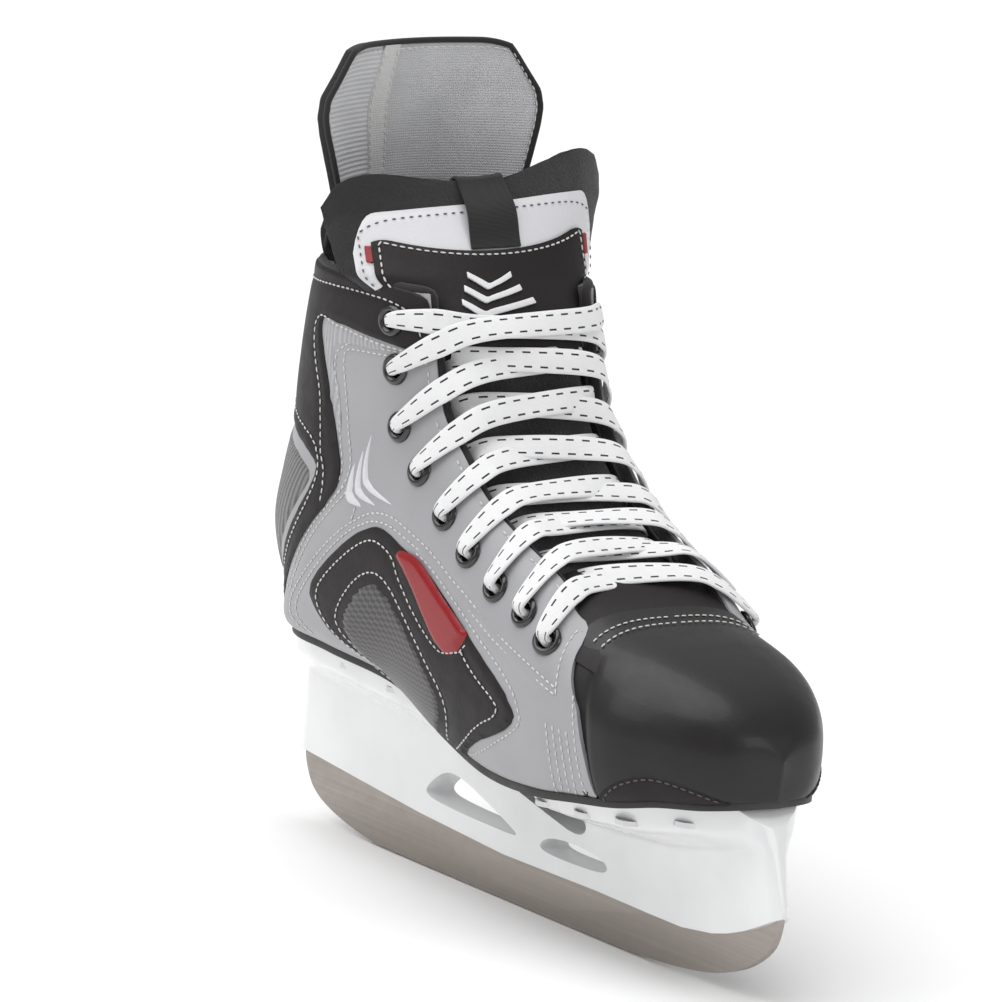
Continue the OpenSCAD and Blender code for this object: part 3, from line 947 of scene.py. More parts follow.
@dataclass(frozen=True)
class CarbonPrint:
    """Printed twill under a clear film, as on the arch insert."""

    name: str = "twill_print"
    cell: float = 1.3

    def make(self, fx: Effects) -> bpy.types.Material:
        """Builds the material.

        Args:
            fx: the shared node groups.
        Returns:
            The material.
        """
        p = Paint(self.name)
        grid = p.node("TexChecker", {"Vector": p.pattern(), "Scale": 1 / PATTERN / self.cell,
                                     "Color1": (.085, .08, .083, 1), "Color2": (.02, .018, .019, 1)})
        grain = p.use(fx.grain, Vector=p.place(), Scale=500.0)
        p.feed("Base Color", p.mix(p.math("MULTIPLY", grain.outputs["Tone"], .4), grid.outputs[0], (.05, .047, .049)))
        p.feed("Roughness", .34)
        p.bump(grid.outputs[1], .18)
        return p.material


@dataclass(frozen=True)
class Steel:
    """Ground and brushed runner steel."""

    name: str
    color: tuple[float, float, float] = (.36, .325, .30)
    rough: float = .38

    def make(self, fx: Effects) -> bpy.types.Material:
        """Builds the material.

        Args:
            fx: the shared node groups.
        Returns:
            The material.
        """
        p = Paint(self.name)
        drawn = p.node("Mapping", {"Vector": p.place(), "Scale": (12, 400, 900)}).outputs[0]
        lines = p.node("TexNoise", {"Vector": drawn, "Scale": 1.0, "Detail": 6.0}).outputs[0]
        scuff = p.use(fx.wear, Vector=p.place(), Scale=220.0)
        p.feed("Base Color", p.mix(lines, tuple(c * .82 for c in self.color), tuple(c * 1.15 for c in self.color)))
        p.feed("Metallic", 1.0)
        p.feed("Roughness", p.math("ADD", p.math("MULTIPLY", scuff.outputs[0], .16), self.rough - .05))
        p.bump(lines, .03)
        return p.material


@dataclass
class Wardrobe:
    """Every finish of the skate, made once."""

    fx: Effects = field(default_factory=Effects)
    made: dict[str, bpy.types.Material] = field(default_factory=dict)

    def __post_init__(self) -> None:
        """Builds the materials."""
        for finish in (
            Coated("grey_synthetic", (.335, .335, .35), .42, 1100, .05),
            Coated("silver_synthetic", (.66, .66, .685), .33, 1100, .05),
            Coated("black_synthetic", (.011, .0085, .0085), .52, 1000, .06, specular=.3),
            Coated("toe_plastic", (.0095, .008, .008), .4, 1600, .035, .1, specular=.35),
            Coated("red_gloss", (.25, .002, .006), .3, 400, .03, .2, specular=.35),
            Coated("holder_gloss", (.79, .795, .80), .18, 60, .02, .5),
            Coated("black_gloss", (.010, .009, .009), .12, 200, .01, .6),
            Coated("outsole_black", (.02, .018, .018), .5, 700, .08),
            Coated("silver_gloss", (.72, .72, .74), .28, 500, .02, .3),
            Coated("board_fibre", (.2, .18, .16), .8, 900, .1),
            Cloth("grey_felt", (.020, .018, .019), 900, .55, sheen=.22),
            Cloth("lining_felt", (.10, .10, .105), 1000, .4, sheen=.35),
            # groove_shade (formerly groove_shade) sets the painted shade in the rib and yarn troughs of these cloths
            Cloth("heel_mesh", (.20, .20, .205), 1400, .3, rib=2.4, rib_turn=2.2, groove_shade=.85, rough=.6),
            Cloth("ribbed_silver", (.50, .50, .525), 1500, .22, rib=1.65, groove_shade=.35, rough=.6),
            Cloth("guard_ribs", (.80, .80, .82), 1500, .2, rib=1.65, groove_shade=.35, rough=.6),
            Cloth("grey_knit", (.74, .74, .76), 1600, .16, yarn=.9, groove_shade=.2),
            Cloth("light_tape", (.9, .9, .89), 1500, .2, yarn=.8, groove_shade=.2),
            Cloth("black_ribbon", (.014, .013, .014), 1500, .15, rib=.8, groove_shade=.5, sheen=.15),
            Cloth("dark_binding", (.02, .017, .018), 1300, .3, sheen=.15),
            Cloth("thread_white", (.74, .73, .72), 3000, .1, sheen=.1, rough=.75),
            Cloth("thread_dark", (.10, .09, .09), 3000, .1, sheen=.1, rough=.75),
            FlatLace(), CarbonPrint(), Steel("runner_steel"), Steel("fastener_steel", (.6, .6, .61), .3),
        ):
            self.made[finish.name] = finish.make(self.fx)

    def dress(self, piece: Piece, finish: str, slot: str, *nodes: str, body: str | None = "boot") -> Piece:
        """Gives a piece its finish, hides the CAD nodes it stands for and puts it on the body it rides on.

        Args:
            piece: the piece.
            finish: the finish's name.
            slot: the record's slot; not used.
            nodes: CAD nodes that the piece stands for.
            body: the body it rides on, or None to leave it unattached.
        Returns:
            The same piece.
        """
        piece.data.materials.clear()
        piece.data.materials.append(self.made[finish])
        if nodes:
            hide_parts(*nodes)
        if body:
            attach(piece, body)
        LOG.info("%s: %d faces, %s", piece.name, len(piece.data.polygons), finish)
        return piece

    def repaint(self, node: str, finish: str) -> None:
        """Gives a CAD node that keeps its shape a better material.

        Args:
            node: the CAD node's name.
            finish: the finish's name.
        """
        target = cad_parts[node]
        for s in target.material_slots:
            s.link = "OBJECT"
            s.material = self.made[finish]
        LOG.info("CAD node %s: %s", node, finish)


# ---------------------------------------------------------------- sub-assemblies
@dataclass
class RunnerUnit:
    """Steel runner in its moulded holder."""

    edge: float = .35
    foot: float = 5.5
    sole_drop: float = 2.7

    def bottom(self, x: Array) -> Array:
        """Height of the holder's lower edge."""
        return np.interp(x, [-139, -134, -120, -100, -61, -11, 42, 69, 88, 104, 112, 120, 127, 134],
                         [24.5, 24.7, 23.6, 22, 19, 16.6, 17.3, 17, 17, 19, 21, 23.8, 27, 31])

    def top(self, x: Array) -> Array:
        """Height of the holder under the outsole.

        Args:
            x: places along the skate, in millimetres.
        Returns:
            A height for each place, in millimetres.
        """
        u = np.linspace(.2, 11.6, 200)
        q = Form.section(u)
        order = np.argsort(q[:, 0])
        return np.interp(x, q[order, 0], q[order, 1]) - self.sole_drop

    def reach(self, x: Array) -> Array:
        """Half width of the holder where it meets the outsole."""
        return np.interp(x, [-139, -136, -128, -112, -88, -60, -30, 0, 25, 50, 80, 100, 115, 124, 130, 134],
                         [8, 12, 17, 21, 23, 22.5, 17, 19, 28, 32.5, 32.5, 26.5, 17.5, 11, 7.5, 6])

    def holder(self) -> Piece:
        """The flared towers and the bridge, cut by the long gap, the window and the slot.

        Returns:
            The piece.
        """
        def place(s: Array, t: Array) -> Array:
            """Points for shares across and along.

            Args:
                s: shares across.
                t: shares along.
            Returns:
                One row for each point.
            """
            x = -138.6 + 272.4 * t
            front = ramp(x, 122, 134)
            low = self.bottom(x)
            high = self.top(np.clip(x, -117, 123)) - 6 * front
            w = self.reach(x)
            # once round a section: up the medial wall, over the top, down the lateral wall, across the foot
            a = s * 4
            k = np.where(a < 1.6, a / 1.6, np.where(a < 2, 1, np.where(a < 3.6, 1 - (a - 2) / 1.6, 0)))
            lip = ramp(k, .62, 0.83)
            flare = self.foot + (w - self.foot) * (.42 * k ** 2 + .58 * lip * lip * (3 - 2 * lip))
            y = np.where(a < 1.6, -flare, np.where(a < 2, -w + (a - 1.6) / .4 * 2 * w,
                         np.where(a < 3.6, flare, self.foot - (a - 3.6) / .4 * 2 * self.foot)))
            nose = np.sqrt(np.clip(1 - (np.clip(x - 124, 0, None) / 9.9) ** 2, .03, 1)
                           * np.clip(1 - (np.clip(-131 - x, 0, None) / 7.8) ** 2, .03, 1))
            sweep = 8.5 * ramp(x, 108, 134) ** 2 - 3 * np.clip((-x - 122) / 17, 0, 1)
            return np.stack([x - sweep * k, y * nose, low + (high - low) * k], 1)
        piece = sheet_piece("holder_body", 120, 220, place)
        with editing(piece):
            bpy.ops.mesh.remove_doubles(threshold=1e-5)
            bpy.ops.mesh.select_all(action="DESELECT")
            bpy.ops.mesh.select_mode(type="EDGE")
            bpy.ops.mesh.select_non_manifold()
            bpy.ops.mesh.edge_face_add()
            bpy.ops.mesh.select_all(action="SELECT")
            bpy.ops.mesh.normals_make_consistent(inside=False)
        cuts = (
            [(-42, 67), (-28, 63), (-14, 59.5), (4, 57), (20, 55), (30, 51), (37, 43), (38, 36.5), (31, 33.2),
             (16, 36.6),
             (-4, 40.6), (-18, 44), (-34, 52)],
            [(-60, 26), (-54, 32.5), (-45, 37.5), (-36, 36.5), (-20, 31.5), (-7, 26.6), (-4, 25), (-8, 24.3),
             (-40, 24.6)],
            [(8, 24.4), (12, 28), (22, 30), (38, 30), (46, 28), (47.5, 25.4), (43, 23.6), (26, 22.9), (13, 23)],
        )
        for number, loop in enumerate(cuts):
            self._cut(piece, rounded(loop, True, 3), number)
        ease(piece, .9, 3, 38)
        return smooth(piece, 35)

    @staticmethod
    def _cut(piece: Piece, loop: Array, number: int) -> None:
        """Takes a straight-through opening out of the holder.

        Args:
            piece: the piece.
            loop: its outline, seen from the side.
            number: number of the opening.
        """
        n = len(loop)
        y = np.full(n, 60.0)
        points = np.vstack([np.stack([loop[:, 0], -y, loop[:, 1]], 1), np.stack([loop[:, 0], y, loop[:, 1]], 1)])
        faces = [list(range(n)), list(range(2 * n - 1, n - 1, -1))]
        faces += [[i, i + n, (i + 1) % n + n, (i + 1) % n] for i in range(n)]
        cutter = weld(piece_from(f"opening_{number}", points, faces))
        finish_with(piece, "BOOLEAN", operation="DIFFERENCE", object=cutter, solver="EXACT")
        bpy.data.objects.remove(cutter)

    def runner(self) -> Piece:
        """The runner's side outline, extruded to its thickness with eased edges.

        Returns:
            The piece.
        """
        loop = rounded([(-134, 13), (-128, 8.5), (-120, 5.5), (-110, 3), (-98, 1), (-88, 0), (50, 0), (66, .6),
                        (84, 2),
                        (98, 4), (108, 6.5), (118, 10.5), (126, 16), (131, 22), (133, 35), (124, 33), (112, 26),
                        (96, 23), (-20, 22), (-97, 26), (-120, 30), (-137, 33), (-138.5, 23)], True, 2)
        n = len(loop)
        points = np.stack([loop[:, 0], np.full(n, -1.5), loop[:, 1]], 1)
        piece = piece_from("runner_steel", points, [list(range(n))])
        with editing(piece):
            bpy.ops.mesh.extrude_region_move(TRANSFORM_OT_translate={"value": (0, 3 * MM, 0)})
            bpy.ops.mesh.select_all(action="SELECT")
            bpy.ops.mesh.normals_make_consistent(inside=False)
        ease(piece, self.edge, 2)
        return smooth(piece, 35)

    def build(self, wear: Wardrobe) -> None:
        """Builds and dresses the unit.

        Args:
            wear: the finishes.
        """
        wear.dress(self.holder(), "holder_gloss", "holder_white", "holder")
        wear.dress(self.runner(), "runner_steel", "steel_runner", "runner")
        for node in ("blade_bolts", "blade_nuts", "front_rivets", "rear_rivets"):
            wear.repaint(node, "fastener_steel")


@dataclass
class SoleUnit:
    """Outsole rim under the boot, with the board and the footbed inside."""

    thick: float = 2.5
    spread: float = 1.0

    def outsole(self) -> Piece:
        """A thin moulded sole whose rim stands out a little.

        Returns:
            The piece.
        """
        def place(s: Array, t: Array) -> Array:
            """Points for shares across and along.

            Args:
                s: shares across.
                t: shares along.
            Returns:
                One row for each point.
            """
            u = .12 + 11.78 * t
            q = Form.section(u)
            y = (s * 2 - 1) * (np.maximum(q[:, 4], .6) + self.spread) * np.where(s > .5, Form.swing(u, Side.LATERAL),
                                                                                 1)
            return np.stack([q[:, 0], y, q[:, 1] - .15], 1)
        piece = sheet_piece("outsole_rim", 16, 150, place)
        thicken(piece, self.thick, 1 if self._faces_down(piece) else -1)
        ease(piece, .6, 2, 50)
        return smooth(piece)

    @staticmethod
    def _faces_down(piece: Piece) -> bool:
        """Whether a sheet's faces look down."""
        return sum(f.normal.z for f in piece.data.polygons) < 0

    def build(self, wear: Wardrobe) -> None:
        """Builds and dresses the unit.

        Args:
            wear: the finishes.
        """
        wear.dress(self.outsole(), "outsole_black", "outsole_black", "outsole")
        wear.repaint("insole_board", "board_fibre")
        wear.repaint("footbed", "lining_felt")


EYE_STATIONS = (16.6, 14.5, 12.4, 10.5, 9.15, 8.1, 7.15, 6.3, 5.55)
EYE_INSETS = (.125, .12, .115, .13, .15, .16, .165, .165, .155)


def eye(row: int) -> Pair:
    """Station and share of an eyelet, row 0 at the collar."""
    u = EYE_STATIONS[row]
    return u, float(Form.eyestay(np.array(u))) - EYE_INSETS[row]


@dataclass
class Quarter:
    """One side of the boot: shell, lining, overlays, badge and seams."""

    side: Side

    def edge_path(self, first: float, last: float, count: int, inset: float = 0) -> list[Pair]:
        """Points along the eyestay edge."""
        return [(float(u), float(Form.eyestay(np.array(u))) - inset) for u in np.linspace(first, last, count)]

    def shell(self) -> tuple[Piece, Piece]:
        """The grey quarter and the stitches sewn on it.

        Returns:
            The panel and its stitches.
        """
        outline = [(17.99, .0), (17.99, .01), (17.99, .3), (17.99, .55)] + self.edge_path(17.9, 5.3, 40)
        outline += [(5.0, .84), (4.86, .78), (4.86, .70), (4.80, .62), (4.6, .54), (4.5, .3), (4.47, .0)]
        outline += [(u, .0) for u in np.arange(5, 17.9, .5)] + [(17.95, .0)]
        seams = [
            Seam([(12.0, .49), (12.25, .537), (12.97, .543), (14.11, .53), (15.25, .51), (16.15, .512), (15.6, .606),
                  (14.75, .715), (14.2, .77)], FLUSH, 2.6, 1),
            Seam([(11.2, .25), (11.75, .40), (11.85, .5), (11.95, .53)], FLUSH, 2.6),
            Seam([(11.9, .52), (11.2, .52), (10.95, .50)], FLUSH, 0, 1),
            Seam([(10.3, .1), (10.85, .2), (10.95, .32), (10.95, .45), (10.7, .512), (10.04, .535), (9.42, .537),
                  (8.36, .56),
                  (7.48, .588), (6.62, .59), (5.68, .585), (5.14, .578)], FLUSH, 2.6),
            Seam([(9.2, .523), (8.16, .546), (7.2, .556), (6.5, .541), (6.06, .502), (6.08, .432), (6.64, .301),
                  (7.24, .124)], FLUSH),
            Seam([(5.06, .80), (5.10, .68), (5.12, .575)], FLUSH),
            Seam([(4.72, .60), (4.72, .52), (4.74, .3), (4.72, .03)], FLUSH, 0, 1),
        ]
        seams += [Seam([(5.42 - .17 * k, .505), (5.42 - .17 * k, .3), (5.46 - .14 * k, .03)], FLUSH, 0,
                       1) for k in range(4)]
        for k in range(8):
            u0, u1 = (EYE_STATIONS[k] * (1 - f) + EYE_STATIONS[k + 1] * f for f in (.3, .72))
            seams.append(Seam(self.edge_path(u0, u1, 3, .026), FLUSH, 0, 0))
        ridges = [
            Seam([(9.1, .535), (7.96, .566), (7.04, .60), (6.28, .583), (5.5, .565)], 0, 0, 1),
        ]
        shell = boot_panel(f"quarter_shell_{self.tag}", outline, self.side, .25, seams, 1.35, 1,
                           [eye(k) for k in range(9)], below=1.7, ridges=ridges, ridge=.7)
        return shell, boot_stitches(f"quarter_stitches_{self.tag}", seams, self.side)

    def chevrons(self) -> Piece:
        """Three nested ridges moulded on the ankle, fat in the middle and pointed at both ends.

        Returns:
            The piece.
        """
        points, faces = [], []
        for path in ([(12.75, .604), (12.1, .577), (11.37, .556), (10.3, .562)],
                     [(12.5, .580), (11.9, .553), (11.41, .536), (10.66, .539)],
                     [(12.35, .555), (11.95, .536), (11.59, .520), (10.98, .521)]):
            uv = evenly(flat_of(rounded(path, False, 1)), .8)
            n = sideways(uv)
            fat = np.sin(np.linspace(0, math.pi, len(uv))) ** .6
            start = sum(len(x) for x in points)
            for off, lift in ((-1.0, .1), (-.5, .8), (0, 1.1), (.5, .8), (1.0, .1)):
                q = (uv + n * (off * fat)[:, None]) / Form.FLAT
                points.append(Form.skin(q[:, 0], q[:, 1], .12 + (lift - .1) * fat, self.side))
            faces += [[start + i for i in f] for f in grid_faces(5, len(uv), wrap_along=False)]
        piece = piece_from(f"ankle_chevrons_{self.tag}", np.vstack(points), faces)
        thicken(piece, .3, 1)
        return smooth(weld(piece, .001), 50)

    def lining(self) -> Piece:
        """The padded felt lining, a thick sheet just inside the surface with the eyelets left open.

        Returns:
            The piece.
        """
        def place(s: Array, t: Array) -> Array:
            """Points for shares across and along.

            Args:
                s: shares across.
                t: shares along.
            Returns:
                One row for each point.
            """
            u = 5.1 + (Form.LAST - .001 - 5.1) * t
            v = .012 + (Form.eyestay(u) - .022) * s
            return Form.skin(u, v, -2.3, self.side)
        piece = sheet_piece(f"lining_pad_{self.tag}", 60, 110, place, (130, 250))
        points = np.array([Form.surface(*eye(k), self.side) for k in range(9)])
        self._open(piece, points, 4.2)
        thicken(piece, 2.6, -1 if self._out(piece) else 1)
        return smooth(piece)

    def _out(self, piece: Piece) -> bool:
        """Whether the faces of a shell look away from the middle plane."""
        return sum(f.normal.y * f.area for f in piece.data.polygons) * self.side.value > 0

    @staticmethod
    def _open(piece: Piece, centres: Array, radius: float) -> None:
        """Takes the faces near some centres out of a shell.

        Args:
            piece: the piece.
            centres: points in millimetres.
            radius: how near a face must be to be taken out, in millimetres.
        """
        with editing(piece):
            bpy.ops.mesh.select_mode(type="FACE")
            bpy.ops.mesh.select_all(action="DESELECT")
        mids = np.array([f.center[:] for f in piece.data.polygons]) / MM
        for f, d in zip(piece.data.polygons, nearest(mids, centres)):
            f.select = d < radius
        bpy.ops.object.mode_set(mode="EDIT")
        bpy.ops.mesh.delete(type="FACE")
        bpy.ops.object.mode_set(mode="OBJECT")

    def collar(self) -> tuple[Piece, Piece]:
        """The black panel round the collar that runs down the back of the ankle.

        Returns:
            The panel and its stitches.
        """
        outline = [(17.99, .0), (17.99, .01), (17.99, .3), (17.99, .55), (17.98, .70),
                   (17.6, .775)] + self.edge_path(17.1, 14.3, 6, .002)
        outline += [(14.09, .797), (15.0, .72), (15.8, .64), (16.25, .579), (16.75, .50), (16.93, .445),
                    (16.7, .436), (16.03, .463),
                    (14.77, .498), (13.33, .525), (12.43, .529), (11.99, .502), (11.92, .41), (11.7, .3), (11.5, .2),
                    (11.4, .1),
                    (11.35, .0), (11.7, .0), (11.8, .1), (12.0, .2), (12.25, .31), (12.53, .436), (12.85, .484),
                    (13.27, .472), (14.13, .402),
                    (15.03, .282), (15.5, .16), (15.72, .01), (15.72, .0), (15.8, .0), (16.8, .0), (17.9, .0)]
        seams = [
            Seam([(17.6, .004), (17.62, .344), (17.6, .55), (17.3, .69), (16.5, .745), (15.6, .75), (14.6, .765)],
                 1.1, 0, 2),
            Seam([(14.3, .78), (15.3, .68), (16.3, .56), (16.85, .475), (17.0, .43), (16.7, .405), (15.6, .445),
                  (14.4, .48), (13.2, .5),
                  (12.5, .502), (12.15, .48)], ON_COVER, 0, 1),
            Seam([(16.05, .004), (15.9, .12), (15.5, .25), (14.6, .39), (13.7, .475), (12.9, .497), (12.45, .46),
                  (12.15, .36), (11.85, .2), (11.65, .1), (11.55, .02)], ON_COVER, 0, 1),
        ]
        panel = boot_panel(f"collar_panel_{self.tag}", outline, self.side, COVER, seams, 1.4, 1, [eye(0)])
        return panel, boot_stitches(f"collar_stitches_{self.tag}", seams, self.side)

    def piping(self) -> Piece:
        """Black piping over the collar's rim and down the eyestay.

        Returns:
            The piece.
        """
        v = np.linspace(.002, float(Form.eyestay(np.array(17.9))) - .02, 60)
        rim = Form.skin(np.full(60, 17.97), v, -1.2, self.side)
        u = np.linspace(17.75, 5.3, 160)
        stay = Form.skin(u, Form.eyestay(u) + .002, -2.3, self.side)
        path = evenly(rounded(np.vstack([rim, stay]), False, 2), 1.5)
        return tube(f"collar_piping_{self.tag}", path, 1.75, 10)

    def heel_mesh(self) -> Piece:
        """Open mesh over the heel counter.

        Returns:
            The piece.
        """
        outline = [(11.9, .1), (12.2, .2), (12.45, .31), (12.68, .43), (12.85, .462), (13.2, .45), (14.0, .38),
                   (14.9, .26),
                   (15.3, .16), (15.5, .01), (15.5, .0), (15.4, .0), (14, .0), (12.6, .0), (11.9, .0), (11.8, .0),
                   (11.82, .02)]
        return boot_panel(f"heel_counter_mesh_{self.tag}", outline, self.side, .7, (), 1.4, 1)

    def rib_strip(self) -> Piece:
        """Ribbed silver strip between the collar panel and the quarter's stitching.

        Returns:
            The piece.
        """
        outline = [(16.88, .44), (16.0, .464), (14.7, .499), (13.4, .522), (13.4, .532), (14.3, .522), (15.3, .502),
                   (16.05, .492),
                   (16.2, .505), (15.9, .565), (15.5, .62), (15.6, .648), (16.2, .585), (16.7, .508)]
        return boot_panel(f"rib_strip_{self.tag}", outline, self.side, .45, (), 1.1, 1)

    def arch(self) -> list[tuple[Piece, str, str, tuple[str, ...]]]:
        """The black arch panel with its twill insert, glossy badge and stitches.

        Returns:
            Each piece with its finish, slot and CAD nodes.
        """
        outline = [(8.9, .0), (8.92, .12), (9.3, .12), (9.88, .18), (10.28, .24), (10.68, .301), (10.74, .375),
                   (10.6, .47),
                   (10.36, .506), (9.98, .514), (9.34, .510), (8.3, .53), (7.28, .537), (6.48, .517), (6.16, .486),
                   (6.28, .409),
                   (6.7, .32), (6.98, .263), (7.3, .14), (7.42, .0), (8.2, .0)]
        inner = [(8.9, .05), (9.35, .16), (9.85, .23), (9.96, .30), (9.92, .39), (9.72, .429), (9.38, .429),
                 (8.84, .392),
                 (8.20, .359), (7.74, .322), (7.60, .255), (7.74, .077)]
        seams = [
            Seam([(9.0, .13), (9.5, .15), (10.1, .23), (10.5, .305), (10.5, .378), (10.34, .456), (10.12, .488),
                  (9.78, .492),
                  (9.48, .484), (9.24, .456), (8.64, .421), (7.96, .421), (7.76, .448), (7.36, .522)], ON_COVER, 0, 1),
            Seam(inner, ON_COVER, 0, 1),
            Seam([(7.48, .502), (7.04, .498), (6.56, .479), (6.52, .432), (6.96, .336), (7.3, .2), (7.6, .06)], 1.1,
                 0, 1),
        ]
        insert = [(8.7, .0), (9.0, .12), (9.5, .17), (9.80, .25), (9.82, .30), (9.80, .367), (9.64, .408),
                  (9.38, .410),
                  (8.80, .376), (8.24, .345), (7.90, .312), (7.74, .259), (7.85, .151), (7.9, .0)]
        badge = [(9.52, .497), (9.46, .508), (9.1, .522), (8.64, .5235), (7.46, .538), (7.38, .534), (7.55, .49),
                 (7.74, .446),
                 (7.84, .438), (8.06, .434), (8.7, .458), (9.42, .489)]
        return [
            (boot_panel(f"arch_cover_{self.tag}", outline, self.side, COVER, seams, 1.4, 1), "black_synthetic",
             "panel_black",
             ("arch_panel_" + self.cad,)),
            (boot_panel(f"arch_insert_{self.tag}", insert, self.side, 1.5, (), 1.3, 1), "twill_print", "panel_black",
             ()),
            (boot_panel(f"arch_badge_{self.tag}", badge, self.side, 2.1, (), .9, 1, roll=1.6), "red_gloss",
             "badge_red",
             ("badge_" + self.cad,)),
            (boot_stitches(f"arch_stitches_{self.tag}", seams, self.side), "thread_white", "tape_light", ()),
        ]

    @property
    def tag(self) -> str:
        """How this side's pieces are named."""
        return self.side.name.lower()

    @property
    def cad(self) -> str:
        """How the CAD names this side."""
        return "right" if self.side is Side.MEDIAL else "left"

    def eyelets(self) -> Piece:
        """Nine domed eyelets: one is turned, the others are copies.

        Returns:
            The piece.
        """
        profile = np.array([(2.75, -5.2), (2.75, -.4), (2.95, .5), (3.5, 1.15), (4.2, 1.3), (4.85, .95), (5.25, .4),
                            (5.35, 0.0),
                            (3.4, -.1), (3.4, -5.2)])
        profile = rounded(profile, False, 1)
        turns = 28
        a = np.linspace(0, 2 * math.pi, turns, endpoint=False)
        ring = np.stack([np.outer(profile[:, 0], np.cos(a)), np.outer(profile[:, 0], np.sin(a)),
                         np.repeat(profile[:, 1:], turns, 1)], -1)
        n = len(profile)
        ring_faces = grid_faces(n, turns, wrap_rows=True)
        points, faces = [], []
        for k in range(9):
            u, v = eye(k)
            z = Vector(Form.normal(np.array(u), np.array(v), self.side))
            x = z.orthogonal().normalized()
            turn = np.array(Matrix((x, z.cross(x), z)).transposed())
            lift = 1.2 if k == 0 else .3
            centre = Form.skin(np.array(u), np.array(v), lift, self.side)
            points.append(ring.reshape(-1, 3) @ turn.T + centre)
            faces += [[i + k * n * turns for i in f] for f in ring_faces]
        piece = piece_from(f"eyelet_row_{self.tag}", np.vstack(points), faces)
        return smooth(weld(piece, .001), 60)

    def build(self, wear: Wardrobe) -> None:
        """Builds and dresses the side.

        Args:
            wear: the finishes.
        """
        shell, seams = self.shell()
        wear.dress(shell, "grey_synthetic", "quarter_grey", "quarter_" + self.cad)
        wear.dress(seams, "thread_white", "tape_light")
        wear.dress(self.chevrons(), "silver_synthetic", "tongue_silver")
        wear.dress(self.lining(), "lining_felt", "lining_felt", "lining_" + self.cad)
        panel, rows = self.collar()
        wear.dress(panel, "black_synthetic", "panel_black", "collar_" + self.cad)
        wear.dress(rows, "thread_white", "tape_light")
        wear.dress(self.piping(), "dark_binding", "panel_black")
        wear.dress(self.heel_mesh(), "heel_mesh", "heel_mesh", "heel_panel_" + self.cad)
        wear.dress(self.rib_strip(), "ribbed_silver", "tongue_silver")
        for piece, finish, slot, nodes in self.arch():
            wear.dress(piece, finish, slot, *nodes)
        wear.dress(self.eyelets(), "black_gloss", "eyelet_black", "eyelets_" + self.cad)


@dataclass
class ToeUnit:
    """Moulded toe cap with its seam, the low wing patches and the vamp behind it."""

    last: float = 5.0
    lift: float = .1

    def cap(self) -> Piece:
        """One smooth shell over both sides of the toe.

        Returns:
            The piece.
        """
        def place(s: Array, t: Array) -> Array:
            """Points for shares across and along.

            Args:
                s: shares across.
                t: shares along.
            Returns:
                One row for each point.
            """
            u = .002 + (self.last - .002) * t ** 1.25
            w = s * 2 - 1
            v = 1 - np.abs(w)
            top = ramp(v, .70, 0.8)
            line = .3 * np.exp(-((u - 4.62) / .09) ** 2) * top
            up = self.lift + .35 * ramp(u, 4.5, 4) - line - 1.5 * ramp(u, 4.42, 4.54) * (1 - top)
            left = Form.skin(u, v, up, Side.MEDIAL)
            right = Form.skin(u, v, up, Side.LATERAL)
            p = np.where((w < 0)[:, None], left, right)
            p[:, 1] *= t > 0
            return p
        piece = sheet_piece("toe_cap_shell", 130, 80, place, (180, 80))
        weld(piece, .05)
        out = sum(f.normal.z for f in piece.data.polygons) > 0
        thicken(piece, 1.9, -1 if out else 1)
        return smooth(piece, 45)

    def wing(self, side: Side) -> tuple[Piece, Piece]:
        """The small patch low on the cap.

        Args:
            side: side of the boot.
        Returns:
            The panel and its stitches.
        """
        loop = [(4.42, .0), (4.4, .11), (4.2, .20), (3.84, .285), (3.4, .33), (3.0, .345), (2.4, .32), (1.8, .25),
                (1.3, .13), (1.1, .0),
                (2, 0), (3, 0), (4, 0)]
        seam = Seam([(4.3, .03), (4.2, .13), (3.84, .255), (3.4, .30), (3.0, .315), (2.4, .29), (1.85, .22),
                     (1.4, .10)], .9, 0, 1)
        tag = side.name.lower()
        return (boot_panel(f"toe_wing_{tag}", loop, side, .95, [seam], 1.2, 1),
                boot_stitches(f"toe_wing_stitches_{tag}", [seam], side))

    def seam(self) -> Piece:
        """Double stitching over the top of the cap.

        Returns:
            The piece.
        """
        rows = []
        for side in Side:
            for u0 in (4.60, 4.74):
                u = np.linspace(u0, u0 + .02, 40)
                v = np.linspace(.79, 1, 40)
                rows += THREAD.rows(Form.skin(u, v, self.lift + .25, side), Form.normal(u, v, side))
        return THREAD.piece("toe_cap_stitches", rows)

    def vamp(self) -> Piece:
        """Black leather between the cap and the foot of the tongue.

        Returns:
            The piece.
        """
        def place(s: Array, t: Array) -> Array:
            """Points for shares across and along.

            Args:
                s: shares across.
                t: shares along.
            Returns:
                One row for each point.
            """
            u = 4.4 + 1.9 * t
            w = s * 2 - 1
            v = 1 - np.abs(w) * .30
            up = -.9 - 2.8 * ramp(u, 4.9, 6.3) ** 1.5
            return np.where((w < 0)[:, None], Form.skin(u, v, up, Side.MEDIAL), Form.skin(u, v, up, Side.LATERAL))
        piece = sheet_piece("vamp_leather", 60, 30, place, (60, 30))
        thicken(piece, 1.0, 0)
        return smooth(piece)

    def build(self, wear: Wardrobe) -> None:
        """Builds and dresses the toe.

        Args:
            wear: the finishes.
        """
        wear.dress(self.cap(), "toe_plastic", "toe_cap_black", "toe_cap")
        wear.dress(self.seam(), "thread_white", "tape_light")
        wear.dress(self.vamp(), "black_synthetic", "panel_black")
        for side in Side:
            patch, rows = self.wing(side)
            wear.dress(patch, "black_synthetic", "toe_cap_black")
            wear.dress(rows, "thread_dark", "toe_cap_black")
        wear.repaint("toe_liner", "lining_felt")


